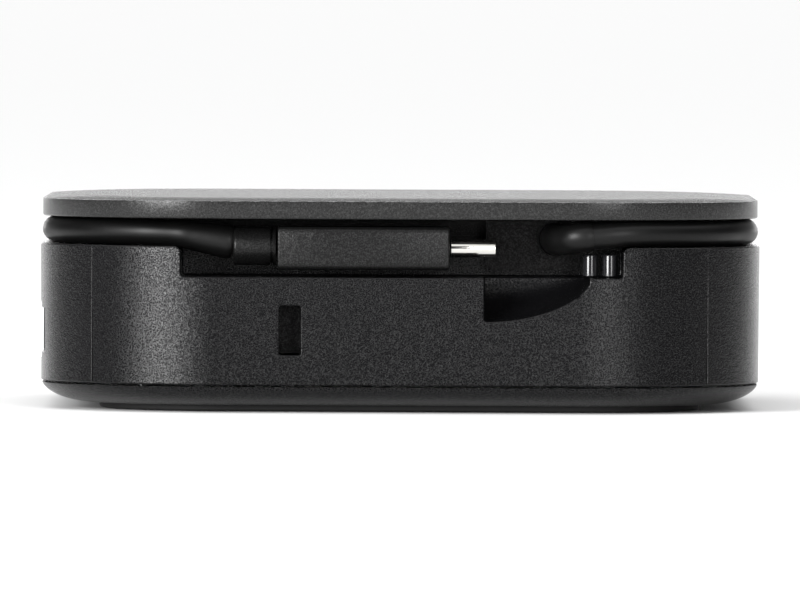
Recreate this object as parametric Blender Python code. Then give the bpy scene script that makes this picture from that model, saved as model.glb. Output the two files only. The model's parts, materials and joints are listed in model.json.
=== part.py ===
"""Travel docking station: a low rounded-square box with its USB-C lead wound round a groove.

Metres, +Z up. The origin is under the middle of the foot pad, the front is -Y and +X is right.
"""
import math

import bmesh
import bpy
from mathutils import Matrix, Vector

MM = 0.001

# ---- driving dimensions, millimetres ----
HALF = 51.0                 # half the side of the square plan
CORNER = 26.0               # plan corner radius
HEIGHT = 30.0
GAP = 0.3                   # between touching pieces
WALL = 2.2                  # side wall thickness
DRAFT = 0.1                 # how far the wall leans in by its lower edge
UNDERSIDE = 0.8             # underside of the cover above the table
EDGE_TOP = 4.2              # where the rounding of the lower edge starts
EDGE_WIDTH = 7.6            # how far that rounding runs inwards
HOUSING_BOTTOM = 3.85
DECK_TOP = 23.3
DECK_UNDER = 21.3
LID_BOTTOM = 27.15
LID_RIM = 29.35
LID_INSET = 0.3
LID_DOME = 8.0              # width of the lid's falling edge
PAD_HALF = 42.6
PAD_RADIUS = 17.4
RECESS_TOP = 1.5            # ceiling of the recess that the pad sits in
COVER_FLOOR = 2.6
SPOOL_INSET = 6.6
BOARD = (6.3, 7.9)          # lower and upper face of the circuit board
PARTS_Z = BOARD[1] + GAP    # where the parts on the board start

POCKET = (-30.8, 31.3)      # left and right end of the plug pocket
POCKET_FLOOR = 19.0
POCKET_DEPTH = 15.0
POCKET_LIP = 1.0            # radius of the pocket's upper outer corners
POCKET_FILLET = 0.5         # radius of its lower inner corners
TUB_WALL = 2.0
TUB_FRONT = 1.9             # where the pocket's walls join the front wall, inside its curve
BLOCK = (12.1, 25.4)        # left and right side of the block that the lead comes out of
BLOCK_DEPTH = 11.5
BLOCK_BOTTOM = 19.95
BLOCK_BEVEL = 0.8
SCOOP_LEFT = 11.8
SCOOP_WIDTH = 15.0
SCOOP_DROP = 6.15
SCOOP_DEPTH = 9.0
SCOOP_CURVE = 0.6           # exponent that shapes the scoop's lower outline
SCOOP_FILLET = 0.5          # radius of its lower left corner
SLOT = (-16.93, -13.93, 8.06, 15.02)    # left, right, lower and upper edge of the lock slot
SLOT_RADIUS = 0.35
BAND = (6.9, 15.0)          # lower and upper edge of the recessed strip on the left side
BAND_DEPTH = 0.25

CABLE = 1.8                 # radius of the lead
CABLE_INSET = 2.05          # its centre line from the outer edge
CABLE_Z = 25.22
CABLE_BEND = CORNER - CABLE_INSET
BOOT = 2.2                  # radius of the moulded boot at the root
BOOT_X = 21.9
BOOT_Z = 24.35
ROOT_BEND = 6.0
BOOT_LENGTH = 14.5
LAST_BEND = 20.0            # bend radius of the lead where it turns in to the plug pocket
PIVOT = (-29.3, -44.5, 24.85)   # where the lead bends as the plug is lifted out
PIVOT_GAP = 2.1
PLUG_Y = -44.5
PLUG_Z = 23.06
SCREW_AT = 36.0             # corner screws, from each middle line
SPOOL_SCREWS = ((-41, -12), (41, -12), (41, 16), (-41, 16))
LEAD_DROP = (BOOT_X, -24.0, 0)  # where the lead goes down to the board

USB_A_Y = (-24.0, -6.0)     # left side, all ports stand on the board
USB_A = (13.1, 13.6, 5.7)   # wide, deep, high
HDMI_Y = 12.0
HDMI = (15.0, 11.5, 5.7)
VGA_X = 8.0                 # back
VGA = (30.8, 12.5)
ETHERNET_X = -16.6
ETHERNET = (16.0, 15.5, 12.7)
USB_C_Y = 0.0               # right side
USB_C = (9.2, 7.6, 3.4)
PORT_FACE = 50.1            # where the ports end, just inside the wall's outer face
ROOM = 0.25                 # play round each port in its window

PLASTIC = ("1a1b1c", 0.55, 0.0)
SOFT = ("141414", 0.5, 0.0)
STEEL = ("9a9c9e", 0.35, 1.0)
NICKEL = ("c9c7c2", 0.2, 1.0)
EPOXY = ("0e0f10", 0.45, 0.0)
INSULATOR = ("101010", 0.5, 0.0)
FIBREGLASS = ("123a24", 0.5, 0.0)
ALUMINIUM = ("b4b6b8", 0.4, 1.0)
SILICONE = ("8b9098", 0.8, 0.0)

for old in list(bpy.data.objects):
    bpy.data.objects.remove(old)


# ---- making meshes ----
def srgb(value):
    """Turn one sRGB channel, 0 to 255, into linear light."""
    part = value / 255
    return part / 12.92 if part <= 0.04045 else ((part + 0.055) / 1.055) ** 2.4


def add_body(name, points, faces, look, sharp=32):
    """Make one closed mesh object from points in millimetres."""
    mesh = bpy.data.meshes.new(name)
    mesh.from_pydata([Vector(p) * MM for p in points], [], faces)
    edit = bmesh.new()
    edit.from_mesh(mesh)
    bmesh.ops.recalc_face_normals(edit, faces=edit.faces)
    edit.to_mesh(mesh)
    edit.free()
    mesh.shade_smooth()
    mesh.set_sharp_from_angle(angle=math.radians(sharp))
    thing = bpy.data.objects.new(name, mesh)
    bpy.context.collection.objects.link(thing)
    give_look(thing, look)
    return thing


def give_look(thing, look):
    """Give the object a plain material of its own."""
    hexa, roughness, metallic = look
    colour = [srgb(int(hexa[i:i + 2], 16)) for i in (0, 2, 4)]
    skin = bpy.data.materials.new(thing.name)
    skin.use_nodes = True
    shader = skin.node_tree.nodes["Principled BSDF"]
    shader.inputs["Base Color"].default_value = (*colour, 1)
    shader.inputs["Roughness"].default_value = roughness
    shader.inputs["Metallic"].default_value = metallic
    thing.data.materials.append(skin)


def stack(name, rings, look, sharp=32):
    """Join rings of equal length into one closed body; a ring of one point is a tip."""
    points, starts, faces = [], [], []
    for ring in rings:
        starts.append(len(points))
        points += ring
    for lower, upper in zip(range(len(rings)), range(1, len(rings))):
        a, b = rings[lower], rings[upper]
        count = max(len(a), len(b))
        for i in range(count):
            j = (i + 1) % count
            corners = []
            for ring, start, order in ((a, starts[lower], (i, j)), (b, starts[upper], (j, i))):
                corners += [start + k for k in order] if len(ring) > 1 else [start]
            faces.append(corners)
    for ring, start in ((rings[0], starts[0]), (rings[-1], starts[-1])):
        if len(ring) > 1:
            faces.append([start + i for i in range(len(ring))])
    return add_body(name, points, faces, look, sharp)


def rounded(half_x, half_y, radius, centre=(0, 0), steps=8):
    """Outline of a rounded rectangle, anticlockwise."""
    outline = []
    for corner, (sx, sy) in enumerate(((1, 1), (-1, 1), (-1, -1), (1, -1))):
        for step in range(steps + 1):
            turn = math.radians(90 * (corner + step / steps))
            outline.append((centre[0] + sx * (half_x - radius) + radius * math.cos(turn),
                            centre[1] + sy * (half_y - radius) + radius * math.sin(turn)))
    return outline


def plan_ring(half, radius, z, steps=12):
    """Ring of the square plan at height z."""
    return [(x, y, z) for x, y in rounded(half, half, radius, steps=steps)]


def inset_ring(inset, z):
    """Ring that runs parallel to the outer edge of the dock."""
    return plan_ring(HALF - inset, CORNER - inset, z)


def slab(name, lo, hi, look, bevel=0.0):
    """Box between two corners, with its upright edges rounded when bevel is given."""
    centre = ((lo[0] + hi[0]) / 2, (lo[1] + hi[1]) / 2)
    half_x, half_y = (hi[0] - lo[0]) / 2, (hi[1] - lo[1]) / 2
    if bevel:
        outline = rounded(half_x, half_y, bevel, centre, 3)
    else:
        outline = [(hi[0], hi[1]), (lo[0], hi[1]), (lo[0], lo[1]), (hi[0], lo[1])]
    return stack(name, [[(x, y, z) for x, y in outline] for z in (lo[2], hi[2])], look)


def turned(name, profile, start, direction, look, sides=20):
    """Turn a profile of (distance, radius) pairs about a line; radius 0 makes a tip."""
    turn = Vector((0, 0, 1)).rotation_difference(Vector(direction)).to_matrix()
    rings = []
    for along, radius in profile:
        count = sides if radius else 1
        ring = []
        for i in range(count):
            angle = math.tau * i / sides
            spot = Vector((radius * math.cos(angle), radius * math.sin(angle), along))
            ring.append(tuple(Vector(start) + turn @ spot))
        rings.append(ring)
    return stack(name, rings, look)


def section_x(name, sections, look):
    """Body through rounded-rectangle sections (x, half width, half height, radius) on the plug axis."""
    rings = []
    for x, half_w, half_h, radius in sections:
        outline = rounded(half_w, half_h, radius, (PLUG_Y, PLUG_Z), 5)
        rings.append([(x, y, z) for y, z in outline])
    return stack(name, rings, look)


def combine(target, tool, operation):
    """Add the tool to the target or cut it away, and keep the tool as a hidden guide."""
    tool.hide_render = True
    tool.display_type = "WIRE"
    change = target.modifiers.new(tool.name, "BOOLEAN")
    change.operation = operation
    change.solver = "EXACT"
    change.object = tool


def cut(target, *tools):
    for tool in tools:
        combine(target, tool, "DIFFERENCE")


def add(target, *tools):
    for tool in tools:
        combine(target, tool, "UNION")


def corners(reach):
    """The four corners at this reach, front left first."""
    return [(sx * reach, sy * reach) for sx, sy in ((-1, -1), (1, -1), (1, 1), (-1, 1))]


# ---- enclosure ----
def edge_inset(z):
    """How far the rounded lower edge has moved in at height z."""
    drop = min(1.0, (EDGE_TOP - z) / (EDGE_TOP - UNDERSIDE))
    return DRAFT + (EDGE_WIDTH - DRAFT) * (1 - math.sqrt(max(0.0, 1 - drop * drop)))


def make_foot_pad():
    top = RECESS_TOP - GAP
    rings = [plan_ring(PAD_HALF - 0.3, PAD_RADIUS - 0.3, 0, 5),
             plan_ring(PAD_HALF, PAD_RADIUS, 0.3, 5),
             plan_ring(PAD_HALF, PAD_RADIUS, top, 5)]
    stack("foot_pad", rings, ("161616", 0.8, 0.0))


def make_bottom_cover():
    cover_top = HOUSING_BOTTOM - GAP
    lip_outer, lip_inner, lip_top = WALL + GAP, WALL + GAP + 1.4, 5.4
    room = PAD_HALF + GAP
    rings = [plan_ring(room, PAD_RADIUS + GAP, RECESS_TOP), plan_ring(room, PAD_RADIUS + GAP, UNDERSIDE)]
    steps = 6
    top_angle = math.asin((EDGE_TOP - cover_top) / (EDGE_TOP - UNDERSIDE))
    for step in range(steps + 1):
        drop = math.sin(math.radians(90) - (math.radians(90) - top_angle) * step / steps)
        z = EDGE_TOP - drop * (EDGE_TOP - UNDERSIDE)
        rings.append(inset_ring(edge_inset(z), z))
    rings += [inset_ring(lip_outer, cover_top), inset_ring(lip_outer, lip_top),
              inset_ring(lip_inner, lip_top), inset_ring(lip_inner, COVER_FLOOR)]
    cover = stack("bottom_cover", rings, PLASTIC)
    for i, (x, y) in enumerate(corners(SCREW_AT), 1):
        up = (0, 0, 1)
        add(cover, turned(f"standoff_{i}", [(2.0, 4.0), (6.0, 4.0)], (x, y, 0), up, PLASTIC))
        cut(cover, turned(f"head_room_{i}", [(1.0, 2.7), (3.6, 2.7)], (x, y, 0), up, PLASTIC),
            turned(f"shank_room_{i}", [(3.0, 1.4), (7.0, 1.4)], (x, y, 0), up, PLASTIC))


def pocket_cutter():
    """Prism of the plug pocket: rounded lower corners, outer corners that flare at the deck."""
    left, right = POCKET
    outline = []
    for side, x, sign in (("left", left, 1), ("right", right, -1)):
        flare, fillet = [], []
        for step in range(5):
            turn = math.radians(90) * step / 4
            flare.append((x - sign * POCKET_LIP * (1 - math.sin(turn)),
                          DECK_TOP - POCKET_LIP * (1 - math.cos(turn))))
            fillet.append((x + sign * POCKET_FILLET * (1 - math.cos(turn)),
                           POCKET_FLOOR + POCKET_FILLET * (1 - math.sin(turn))))
        top = [(x - sign * POCKET_LIP, DECK_TOP + 2)]
        half = top + flare + fillet
        outline += half if side == "left" else half[::-1]
    rings = [[(x, y, z) for x, z in outline] for y in (-HALF - 1, -HALF + POCKET_DEPTH)]
    return stack("pocket_room", rings, PLASTIC)


def scoop_cutter():
    """Cove under the pocket floor: upright at the back, curving forward to the front wall."""
    rings, columns, rows = [], 12, 8
    front = -HALF
    near_corner = [SCOOP_FILLET * part for part in (0, 0.12, 0.4)]
    far = [0.985 * SCOOP_WIDTH * math.sin(math.radians(90) * step / columns)
           for step in range(1, columns + 1)]
    for along in near_corner + far:
        drop = SCOOP_DROP * (1 - (along / SCOOP_WIDTH) ** 2) ** SCOOP_CURVE
        short = max(0.0, SCOOP_FILLET - along)
        drop -= SCOOP_FILLET - math.sqrt(SCOOP_FILLET ** 2 - short ** 2)
        x = SCOOP_LEFT + along
        ring = [(x, front - 1, POCKET_FLOOR + 0.5), (x, front - 1, POCKET_FLOOR - drop)]
        for row in range(rows + 1):
            turn = math.radians(90) * row / rows
            ring.append((x, front + SCOOP_DEPTH * math.sin(turn), POCKET_FLOOR - drop * math.cos(turn)))
        ring.append((x, front + SCOOP_DEPTH, POCKET_FLOOR + 0.5))
        rings.append(ring)
    return stack("scoop_room", rings, PLASTIC)


def slot_cutter(y_near, y_far):
    """Upright prism of the lock slot, with small round corners."""
    left, right, low, high = SLOT
    middle = ((left + right) / 2, (low + high) / 2)
    outline = rounded((right - left) / 2, (high - low) / 2, SLOT_RADIUS, middle, 3)
    return stack("lock_opening", [[(x, y, z) for x, z in outline] for y in (y_near, y_far)], PLASTIC)


def make_main_housing():
    inner = WALL
    rings = [inset_ring(inner, DECK_UNDER), inset_ring(inner, HOUSING_BOTTOM),
             inset_ring(edge_inset(HOUSING_BOTTOM) + 0.12, HOUSING_BOTTOM),
             inset_ring(edge_inset(HOUSING_BOTTOM + 0.2), HOUSING_BOTTOM + 0.2),
             inset_ring(DRAFT, EDGE_TOP), inset_ring(0, DECK_TOP - 0.25), inset_ring(0.2, DECK_TOP)]
    housing = stack("main_housing", rings, PLASTIC)
    front = -HALF
    tub_lo = (POCKET[0] - TUB_WALL, front + TUB_FRONT, POCKET_FLOOR - TUB_WALL)
    tub_hi = (POCKET[1] + TUB_WALL, front + POCKET_DEPTH + TUB_WALL, DECK_TOP - 0.6)
    scoop_lo = (SCOOP_LEFT - TUB_WALL, front + TUB_FRONT, POCKET_FLOOR - SCOOP_DROP - TUB_WALL)
    scoop_hi = (SCOOP_LEFT + SCOOP_WIDTH + TUB_WALL, front + SCOOP_DEPTH + TUB_WALL, POCKET_FLOOR - 1)
    add(housing, slab("tub", tub_lo, tub_hi, PLASTIC), slab("scoop_tub", scoop_lo, scoop_hi, PLASTIC))
    up = (0, 0, 1)
    for i, (x, y) in enumerate(corners(SCREW_AT), 1):
        add(housing, turned(f"boss_{i}", [(PARTS_Z, 3.2), (DECK_TOP - 0.8, 3.2)], (x, y, 0), up, PLASTIC))
        cut(housing, turned(f"boss_bore_{i}", [(PARTS_Z - 1, 1.3), (16.0, 1.3)], (x, y, 0), up, PLASTIC))
    cut(housing, pocket_cutter(), scoop_cutter())
    cut(housing, slot_cutter(front - 1, front + WALL + 1))
    band_lo, band_hi = (-HALF - 1, -38, BAND[0]), (-HALF + BAND_DEPTH, 38, BAND[1])
    cut(housing, slab("band_room", band_lo, band_hi, PLASTIC))
    for name, lo, hi in WINDOWS:
        cut(housing, slab(name, lo, hi, PLASTIC))
    for i, (x, y) in enumerate(SPOOL_SCREWS, 1):
        cut(housing, turned(f"deck_hole_{i}", [(DECK_UNDER - 1, 1.3), (DECK_TOP + 1, 1.3)], (x, y, 0), up,
                            PLASTIC))
    lead_hole = [(DECK_UNDER - 1, 2.0), (DECK_TOP + 1, 2.0)]
    cut(housing, turned("lead_hole", lead_hole, LEAD_DROP, up, PLASTIC))


def make_lock_plate():
    x_mid = (SLOT[0] + SLOT[1]) / 2
    y_lo = -HALF + WALL + GAP
    plate = slab("lock_plate", (x_mid - 5, y_lo, 6.0), (x_mid + 5, y_lo + 1.0, 16.6), STEEL)
    room = 0.3
    cut(plate, slab("lock_plate_opening", (SLOT[0] - room, y_lo - 1, SLOT[2] - room),
                    (SLOT[1] + room, y_lo + 2, SLOT[3] + room), STEEL))


def make_cable_spool():
    low, high = DECK_TOP + GAP, LID_BOTTOM - GAP
    radius = CORNER - SPOOL_INSET
    rings = [plan_ring(HALF - SPOOL_INSET, radius, low), plan_ring(HALF - SPOOL_INSET, radius, high)]
    spool = stack("cable_spool", rings, PLASTIC)
    back = -HALF + POCKET_DEPTH
    cut(spool, slab("plug_room", (POCKET[0] - 5, -HALF - 1, low - 1), (POCKET[1] + 3, back, high + 1),
                    PLASTIC))
    left, right = BLOCK
    outline = [(left, high), (left, BLOCK_BOTTOM + BLOCK_BEVEL), (left + BLOCK_BEVEL, BLOCK_BOTTOM),
               (right - BLOCK_BEVEL, BLOCK_BOTTOM), (right, BLOCK_BOTTOM + BLOCK_BEVEL), (right, high)]
    y_front, y_back = -HALF + BLOCK_DEPTH, back - GAP
    block = stack("root_block", [[(x, y, z) for x, z in outline] for y in (y_front, y_back)], PLASTIC)
    neck = slab("root_neck", (left + 0.5, y_front + 1, low + 0.1), (right - 0.5, back + 2, high - 0.1),
                PLASTIC)
    add(spool, block, neck)
    hollow = [[(x, y, z) for x, y in rounded(36, 33, 8, (0, 2), 4)] for z in (low - 1, high - 1.0)]
    cut(spool, stack("spool_hollow", hollow, PLASTIC))
    bore = [(0, BOOT + GAP), (12.0, BOOT + GAP)]
    cut(spool, turned("root_bore", bore, (BOOT_X, y_front - 1, BOOT_Z), (0, 1, 0), PLASTIC))
    for i, (x, y) in enumerate(SPOOL_SCREWS, 1):
        bore = [(low - 1, 1.2), (26.0, 1.2)]
        cut(spool, turned(f"spool_bore_{i}", bore, (x, y, 0), (0, 0, 1), PLASTIC))


def make_lid():
    rings = [plan_ring(HALF - LID_INSET - 0.15, CORNER - LID_INSET - 0.15, LID_BOTTOM),
             plan_ring(HALF - LID_INSET, CORNER - LID_INSET, LID_BOTTOM + 0.15)]
    steps = 8
    for step in range(steps + 1):
        inset = LID_DOME * step / steps
        rise = 1 - (1 - step / steps) ** 2
        z = LID_RIM + (HEIGHT - LID_RIM) * rise
        rings.append(inset_ring(LID_INSET + inset, z))
    stack("lid_cover", rings, PLASTIC, sharp=40)


def make_guide_pins():
    for i, (x, y) in enumerate(((26.75, -45.6), (29.5, -46.2)), 1):
        profile = [(POCKET_FLOOR + GAP, 1.05), (22.1, 1.05), (22.3, 0.85)]
        turned(f"guide_pin_{i}", profile, (x, y, 0), (0, 0, 1), ("202022", 0.15, 0.0), 16)


def make_screws():
    up = (0, 0, 1)
    for i, (x, y) in enumerate(corners(SCREW_AT), 1):
        profile = [(1.8, 1.9), (2.0, 2.3), (3.2, 2.3), (3.3, 1.0), (14.6, 1.0), (15.2, 0.4)]
        turned(f"cover_screw_{i}", profile, (x, y, 0), up, STEEL, 14)
    for i, (x, y) in enumerate(SPOOL_SCREWS, 1):
        profile = [(19.9, 1.9), (20.9, 1.9), (21.0, 0.9), (25.2, 0.9), (25.6, 0.4)]
        turned(f"spool_screw_{i}", profile, (x, y, 0), up, STEEL, 12)


# ---- electronics ----
def make_board():
    rings = [plan_ring(46, 21, z, 6) for z in BOARD]
    board = stack("main_board", rings, FIBREGLASS)
    for i, (x, y) in enumerate(corners(SCREW_AT), 1):
        hole = [(BOARD[0] - 1, 1.6), (BOARD[1] + 1, 1.6)]
        cut(board, turned(f"board_hole_{i}", hole, (x, y, 0), (0, 0, 1), FIBREGLASS))


def on_board(name, centre, size, look, lift=0.0):
    """Box standing just above the board."""
    half_x, half_y = size[0] / 2, size[1] / 2
    z = PARTS_Z + lift
    slab(name, (centre[0] - half_x, centre[1] - half_y, z),
         (centre[0] + half_x, centre[1] + half_y, z + size[2]), look)


def make_electronics():
    chips = (("hub_chip", (-6, 2), (9, 9, 0.9)), ("video_chip", (9, 8), (10, 10, 0.9)),
             ("ethernet_chip", (-14, 16), (6, 6, 0.9)), ("power_chip", (31, 8), (5, 5, 0.9)))
    for name, centre, size in chips:
        on_board(name, centre, size, EPOXY)
    on_board("thermal_pad", (1, 7), (26, 18, 0.8), SILICONE, 1.2)
    on_board("heat_spreader", (0, 4), (44, 32, 1.2), ALUMINIUM, 2.3)
    for i, y in enumerate((-12, -20), 1):
        on_board(f"inductor_{i}", (35, y), (6.5, 6.5, 3.0), EPOXY)
    on_board("crystal", (-20, -6), (5, 3.2, 1.0), STEEL)
    on_board("lead_header", LEAD_DROP, (9, 4.5, 3.2), INSULATOR)
    for i, x in enumerate((-4, 2, 8), 1):
        profile = [(PARTS_Z, 2.4), (PARTS_Z + 5.6, 2.4), (PARTS_Z + 6.0, 2.0)]
        turned(f"capacitor_{i}", profile, (x, -28, 0), (0, 0, 1), ALUMINIUM, 16)


# ---- ports: the mouth is in the wall, the body reaches into the box ----


def side_window(name, side, centre, size, z_lo=PARTS_Z):
    """Window in the left (-1) or right (1) wall round a port."""
    x_in, x_out = side * (HALF - WALL - 2), side * (HALF + 1)
    lo = (min(x_in, x_out), centre - size[0] / 2 - ROOM, z_lo - ROOM)
    hi = (max(x_in, x_out), centre + size[0] / 2 + ROOM, z_lo + size[2] + ROOM)
    return name, lo, hi


WINDOWS = [side_window(f"usb_a_window_{i}", -1, y, USB_A) for i, y in enumerate(USB_A_Y, 1)]
WINDOWS.append(side_window("hdmi_window", -1, HDMI_Y, HDMI))
WINDOWS.append(side_window("usb_c_window", 1, USB_C_Y, USB_C))
for window_name, window_x, window_size in (("vga_window", VGA_X, VGA),
                                           ("ethernet_window", ETHERNET_X, (ETHERNET[0], ETHERNET[2]))):
    reach = window_size[0] / 2 + ROOM
    WINDOWS.append((window_name, (window_x - reach, HALF - WALL - 2, PARTS_Z - ROOM),
                    (window_x + reach, HALF + 1, PARTS_Z + window_size[1] + ROOM)))


def side_port(name, side, y, size, wall, tongue, look):
    """Box-shaped receptacle facing +X or -X, with a tongue inside it."""
    wide, deep, high = size
    x_face, x_back = side * PORT_FACE, side * (PORT_FACE - deep)
    z_mid = PARTS_Z + high / 2
    lo = (min(x_face, x_back), y - wide / 2, PARTS_Z)
    hi = (max(x_face, x_back), y + wide / 2, PARTS_Z + high)
    port = slab(name, lo, hi, look)
    x_in, x_out = side * (PORT_FACE - deep + 1.5), side * (PORT_FACE + 1)
    cut(port, slab(name + "_room", (min(x_in, x_out), lo[1] + wall, lo[2] + wall),
                   (max(x_in, x_out), hi[1] - wall, hi[2] - wall), look))
    t_wide, t_long, t_high, t_up = tongue
    x_root = side * (PORT_FACE - deep + 1.5 + GAP)
    x_tip = x_root + side * t_long
    slab(name.replace("port", "tongue"), (min(x_root, x_tip), y - t_wide / 2, z_mid + t_up - t_high / 2),
         (max(x_root, x_tip), y + t_wide / 2, z_mid + t_up + t_high / 2), INSULATOR)


def make_vga():
    z_mid = PARTS_Z + VGA[1] / 2
    y_flange = 45.2
    body = slab("vga_port", (VGA_X - VGA[0] / 2, y_flange - 0.8, PARTS_Z),
                (VGA_X + VGA[0] / 2, y_flange, PARTS_Z + VGA[1]), STEEL)
    block = slab("vga_block", (VGA_X - 11, 34.0, PARTS_Z + 0.4),
                 (VGA_X + 11, y_flange - 0.4, PARTS_Z + 12.0), STEEL)
    shell_outline, room_outline = [], []
    for offset, outline in ((0.0, shell_outline), (0.45, room_outline)):
        for x, z in ((8.4, 4.1), (-8.4, 4.1), (-7.3, -4.1), (7.3, -4.1)):
            outline.append((VGA_X + x - math.copysign(offset, x), z_mid + z - math.copysign(offset, z)))
    shell_rings = [[(x, y, z) for x, z in shell_outline] for y in (y_flange - 0.4, 50.5)]
    room_rings = [[(x, y, z) for x, z in room_outline] for y in (y_flange, 52.0)]
    add(body, block, stack("vga_shell", shell_rings, STEEL))
    cut(body, stack("vga_shell_room", room_rings, STEEL))
    insert = [(VGA_X + (x - VGA_X) * 0.92, z_mid + (z - z_mid) * 0.88) for x, z in room_outline]
    stack("vga_insert", [[(x, y, z) for x, z in insert] for y in (y_flange + GAP, 50.1)],
          ("1d3f8f", 0.5, 0.0))
    for i, side in enumerate((-1, 1), 1):
        profile = [(y_flange + GAP, 2.7), (50.2, 2.7)]
        turned(f"vga_jack_{i}", profile, (VGA_X + side * 12.3, 0, z_mid), (0, 1, 0), NICKEL, 6)


def make_ethernet():
    wide, deep, high = ETHERNET
    lo = (ETHERNET_X - wide / 2, 50.5 - deep, PARTS_Z)
    hi = (ETHERNET_X + wide / 2, 50.5, PARTS_Z + high)
    port = slab("ethernet_port", lo, hi, STEEL)
    mouth = slab("ethernet_room", (ETHERNET_X - 5.9, 39.0, PARTS_Z + 3.6),
                 (ETHERNET_X + 5.9, 52.0, PARTS_Z + high - 1.2), STEEL)
    latch = slab("ethernet_latch_room", (ETHERNET_X - 3.0, 40.0, PARTS_Z + 1.0),
                 (ETHERNET_X + 3.0, 52.0, PARTS_Z + 4.0), STEEL)
    cut(port, mouth, latch)


def make_ports():
    for i, y in enumerate(USB_A_Y, 1):
        side_port(f"usb_a_port_{i}", -1, y, USB_A, 0.35, (11.0, 9.0, 1.8, 1.0), NICKEL)
    side_port("hdmi_port", -1, HDMI_Y, HDMI, 0.4, (10.6, 8.0, 1.2, 0.4), NICKEL)
    side_port("usb_c_port", 1, USB_C_Y, USB_C, 0.35, (6.7, 5.0, 0.7, 0.0), NICKEL)
    make_vga()
    make_ethernet()


# ---- the lead, from its root in the block round the groove to the plug ----
def smooth_route(knots, per_span):
    """Catmull-Rom curve through the knots."""
    knots = [Vector(k) for k in knots]
    ends = [2 * knots[0] - knots[1]] + knots + [2 * knots[-1] - knots[-2]]
    route = []
    for a, b, c, d in zip(ends, ends[1:], ends[2:], ends[3:]):
        for step in range(per_span):
            t = step / per_span
            route.append(0.5 * (2 * b + (c - a) * t + (2 * a - 5 * b + 4 * c - d) * t * t
                                + (3 * b - a - 3 * c + d) * t ** 3))
    return route + [knots[-1]]


def trace(route, spacing):
    """Points along a dense route, evenly spaced."""
    lengths = [0.0]
    for a, b in zip(route, route[1:]):
        lengths.append(lengths[-1] + (b - a).length)
    count = max(2, round(lengths[-1] / spacing))
    points, index = [], 0
    for step in range(count + 1):
        target = lengths[-1] * step / count
        while index < len(lengths) - 2 and lengths[index + 1] < target:
            index += 1
        span = lengths[index + 1] - lengths[index]
        share = (target - lengths[index]) / span if span else 0
        points.append(route[index].lerp(route[index + 1], min(1, share)))
    return points


def make_tube(name, points, radius, look, resolution=2):
    """Round tube along points in millimetres, with closed ends."""
    curve = bpy.data.curves.new(name, "CURVE")
    curve.dimensions = "3D"
    curve.bevel_depth = radius * MM
    curve.bevel_resolution = resolution
    curve.use_fill_caps = True
    line = curve.splines.new("POLY")
    line.points.add(len(points) - 1)
    for spot, point in zip(line.points, points):
        spot.co = (*(Vector(point) * MM), 1)
    line.use_smooth = True
    tube = bpy.data.objects.new(name, curve)
    bpy.context.collection.objects.link(tube)
    give_look(tube, look)
    return tube


def root_bend():
    """Knots of the bend from the block's bore to the groove line, a quarter circle."""
    centre_x = BOOT_X + ROOT_BEND
    reach = -HALF + CABLE_INSET + 0.25 + ROOT_BEND
    knots = [(BOOT_X, -HALF + BLOCK_DEPTH + 2.0, BOOT_Z), (BOOT_X, reach + 1.0, BOOT_Z)]
    for degrees in (20, 45, 70):
        turn = math.radians(degrees)
        rise = (CABLE_Z - BOOT_Z) * (degrees / 90) ** 3
        knots.append((centre_x - ROOT_BEND * math.cos(turn), reach - ROOT_BEND * math.sin(turn),
                      BOOT_Z + rise))
    return knots


def groove_knots():
    """Knots once round the groove, from the front right corner to the plug pocket."""
    straight = HALF - CORNER
    knots = []
    for corner in range(3):
        for degrees in (-70, -45, -22, 0) if corner == 0 else (0, 22, 45, 68, 90):
            turn = math.radians(degrees if corner == 0 else degrees + 90 * (corner - 1))
            centre = ((1, -1), (1, 1), (-1, 1))[corner]
            knots.append((centre[0] * straight + CABLE_BEND * math.cos(turn),
                          centre[1] * straight + CABLE_BEND * math.sin(turn), CABLE_Z))
        side = ((HALF - CABLE_INSET, 0), (0, HALF - CABLE_INSET), (-HALF + CABLE_INSET, 0))[corner]
        knots.append((*side, CABLE_Z))
    centre = (-HALF + CABLE_INSET + LAST_BEND, PIVOT[1] + LAST_BEND)
    for degrees in (0, 22, 45, 68, 84):
        turn = math.radians(180 + degrees)
        knots.append((centre[0] + LAST_BEND * math.cos(turn), centre[1] + LAST_BEND * math.sin(turn),
                      CABLE_Z))
    return knots


def make_lead():
    bend = root_bend()
    whole = smooth_route(bend + groove_knots() + [(PIVOT[0], PIVOT[1], PIVOT[2] + 0.1)], 12)
    points = trace(whole, 0.4)
    start = round(BOOT_LENGTH / 0.4)
    make_tube("cable_boot", trace(points[:start], 1.6), BOOT, SOFT, 3)
    stop = next(i for i, p in enumerate(points) if i > 300 and (p - Vector(PIVOT)).length < PIVOT_GAP)
    make_tube("cable_wrap", trace(points[start:stop], 4.4), CABLE, SOFT)


def make_inner_lead():
    x, y_drop, _ = LEAD_DROP
    start = -HALF + BLOCK_DEPTH + 2.0 + GAP
    z_run = 24.75
    knots = [(x, start, BOOT_Z + 0.2), (x, start + 4, z_run), (x, y_drop - 3.5, z_run),
             (x, y_drop - 0.9, z_run - 1.1), (x, y_drop, z_run - 4), (x, y_drop, 16),
             (x, y_drop, PARTS_Z + 3.2 + GAP)]
    make_tube("inner_lead", trace(smooth_route(knots, 8), 1.8), 0.85, SOFT)


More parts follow.
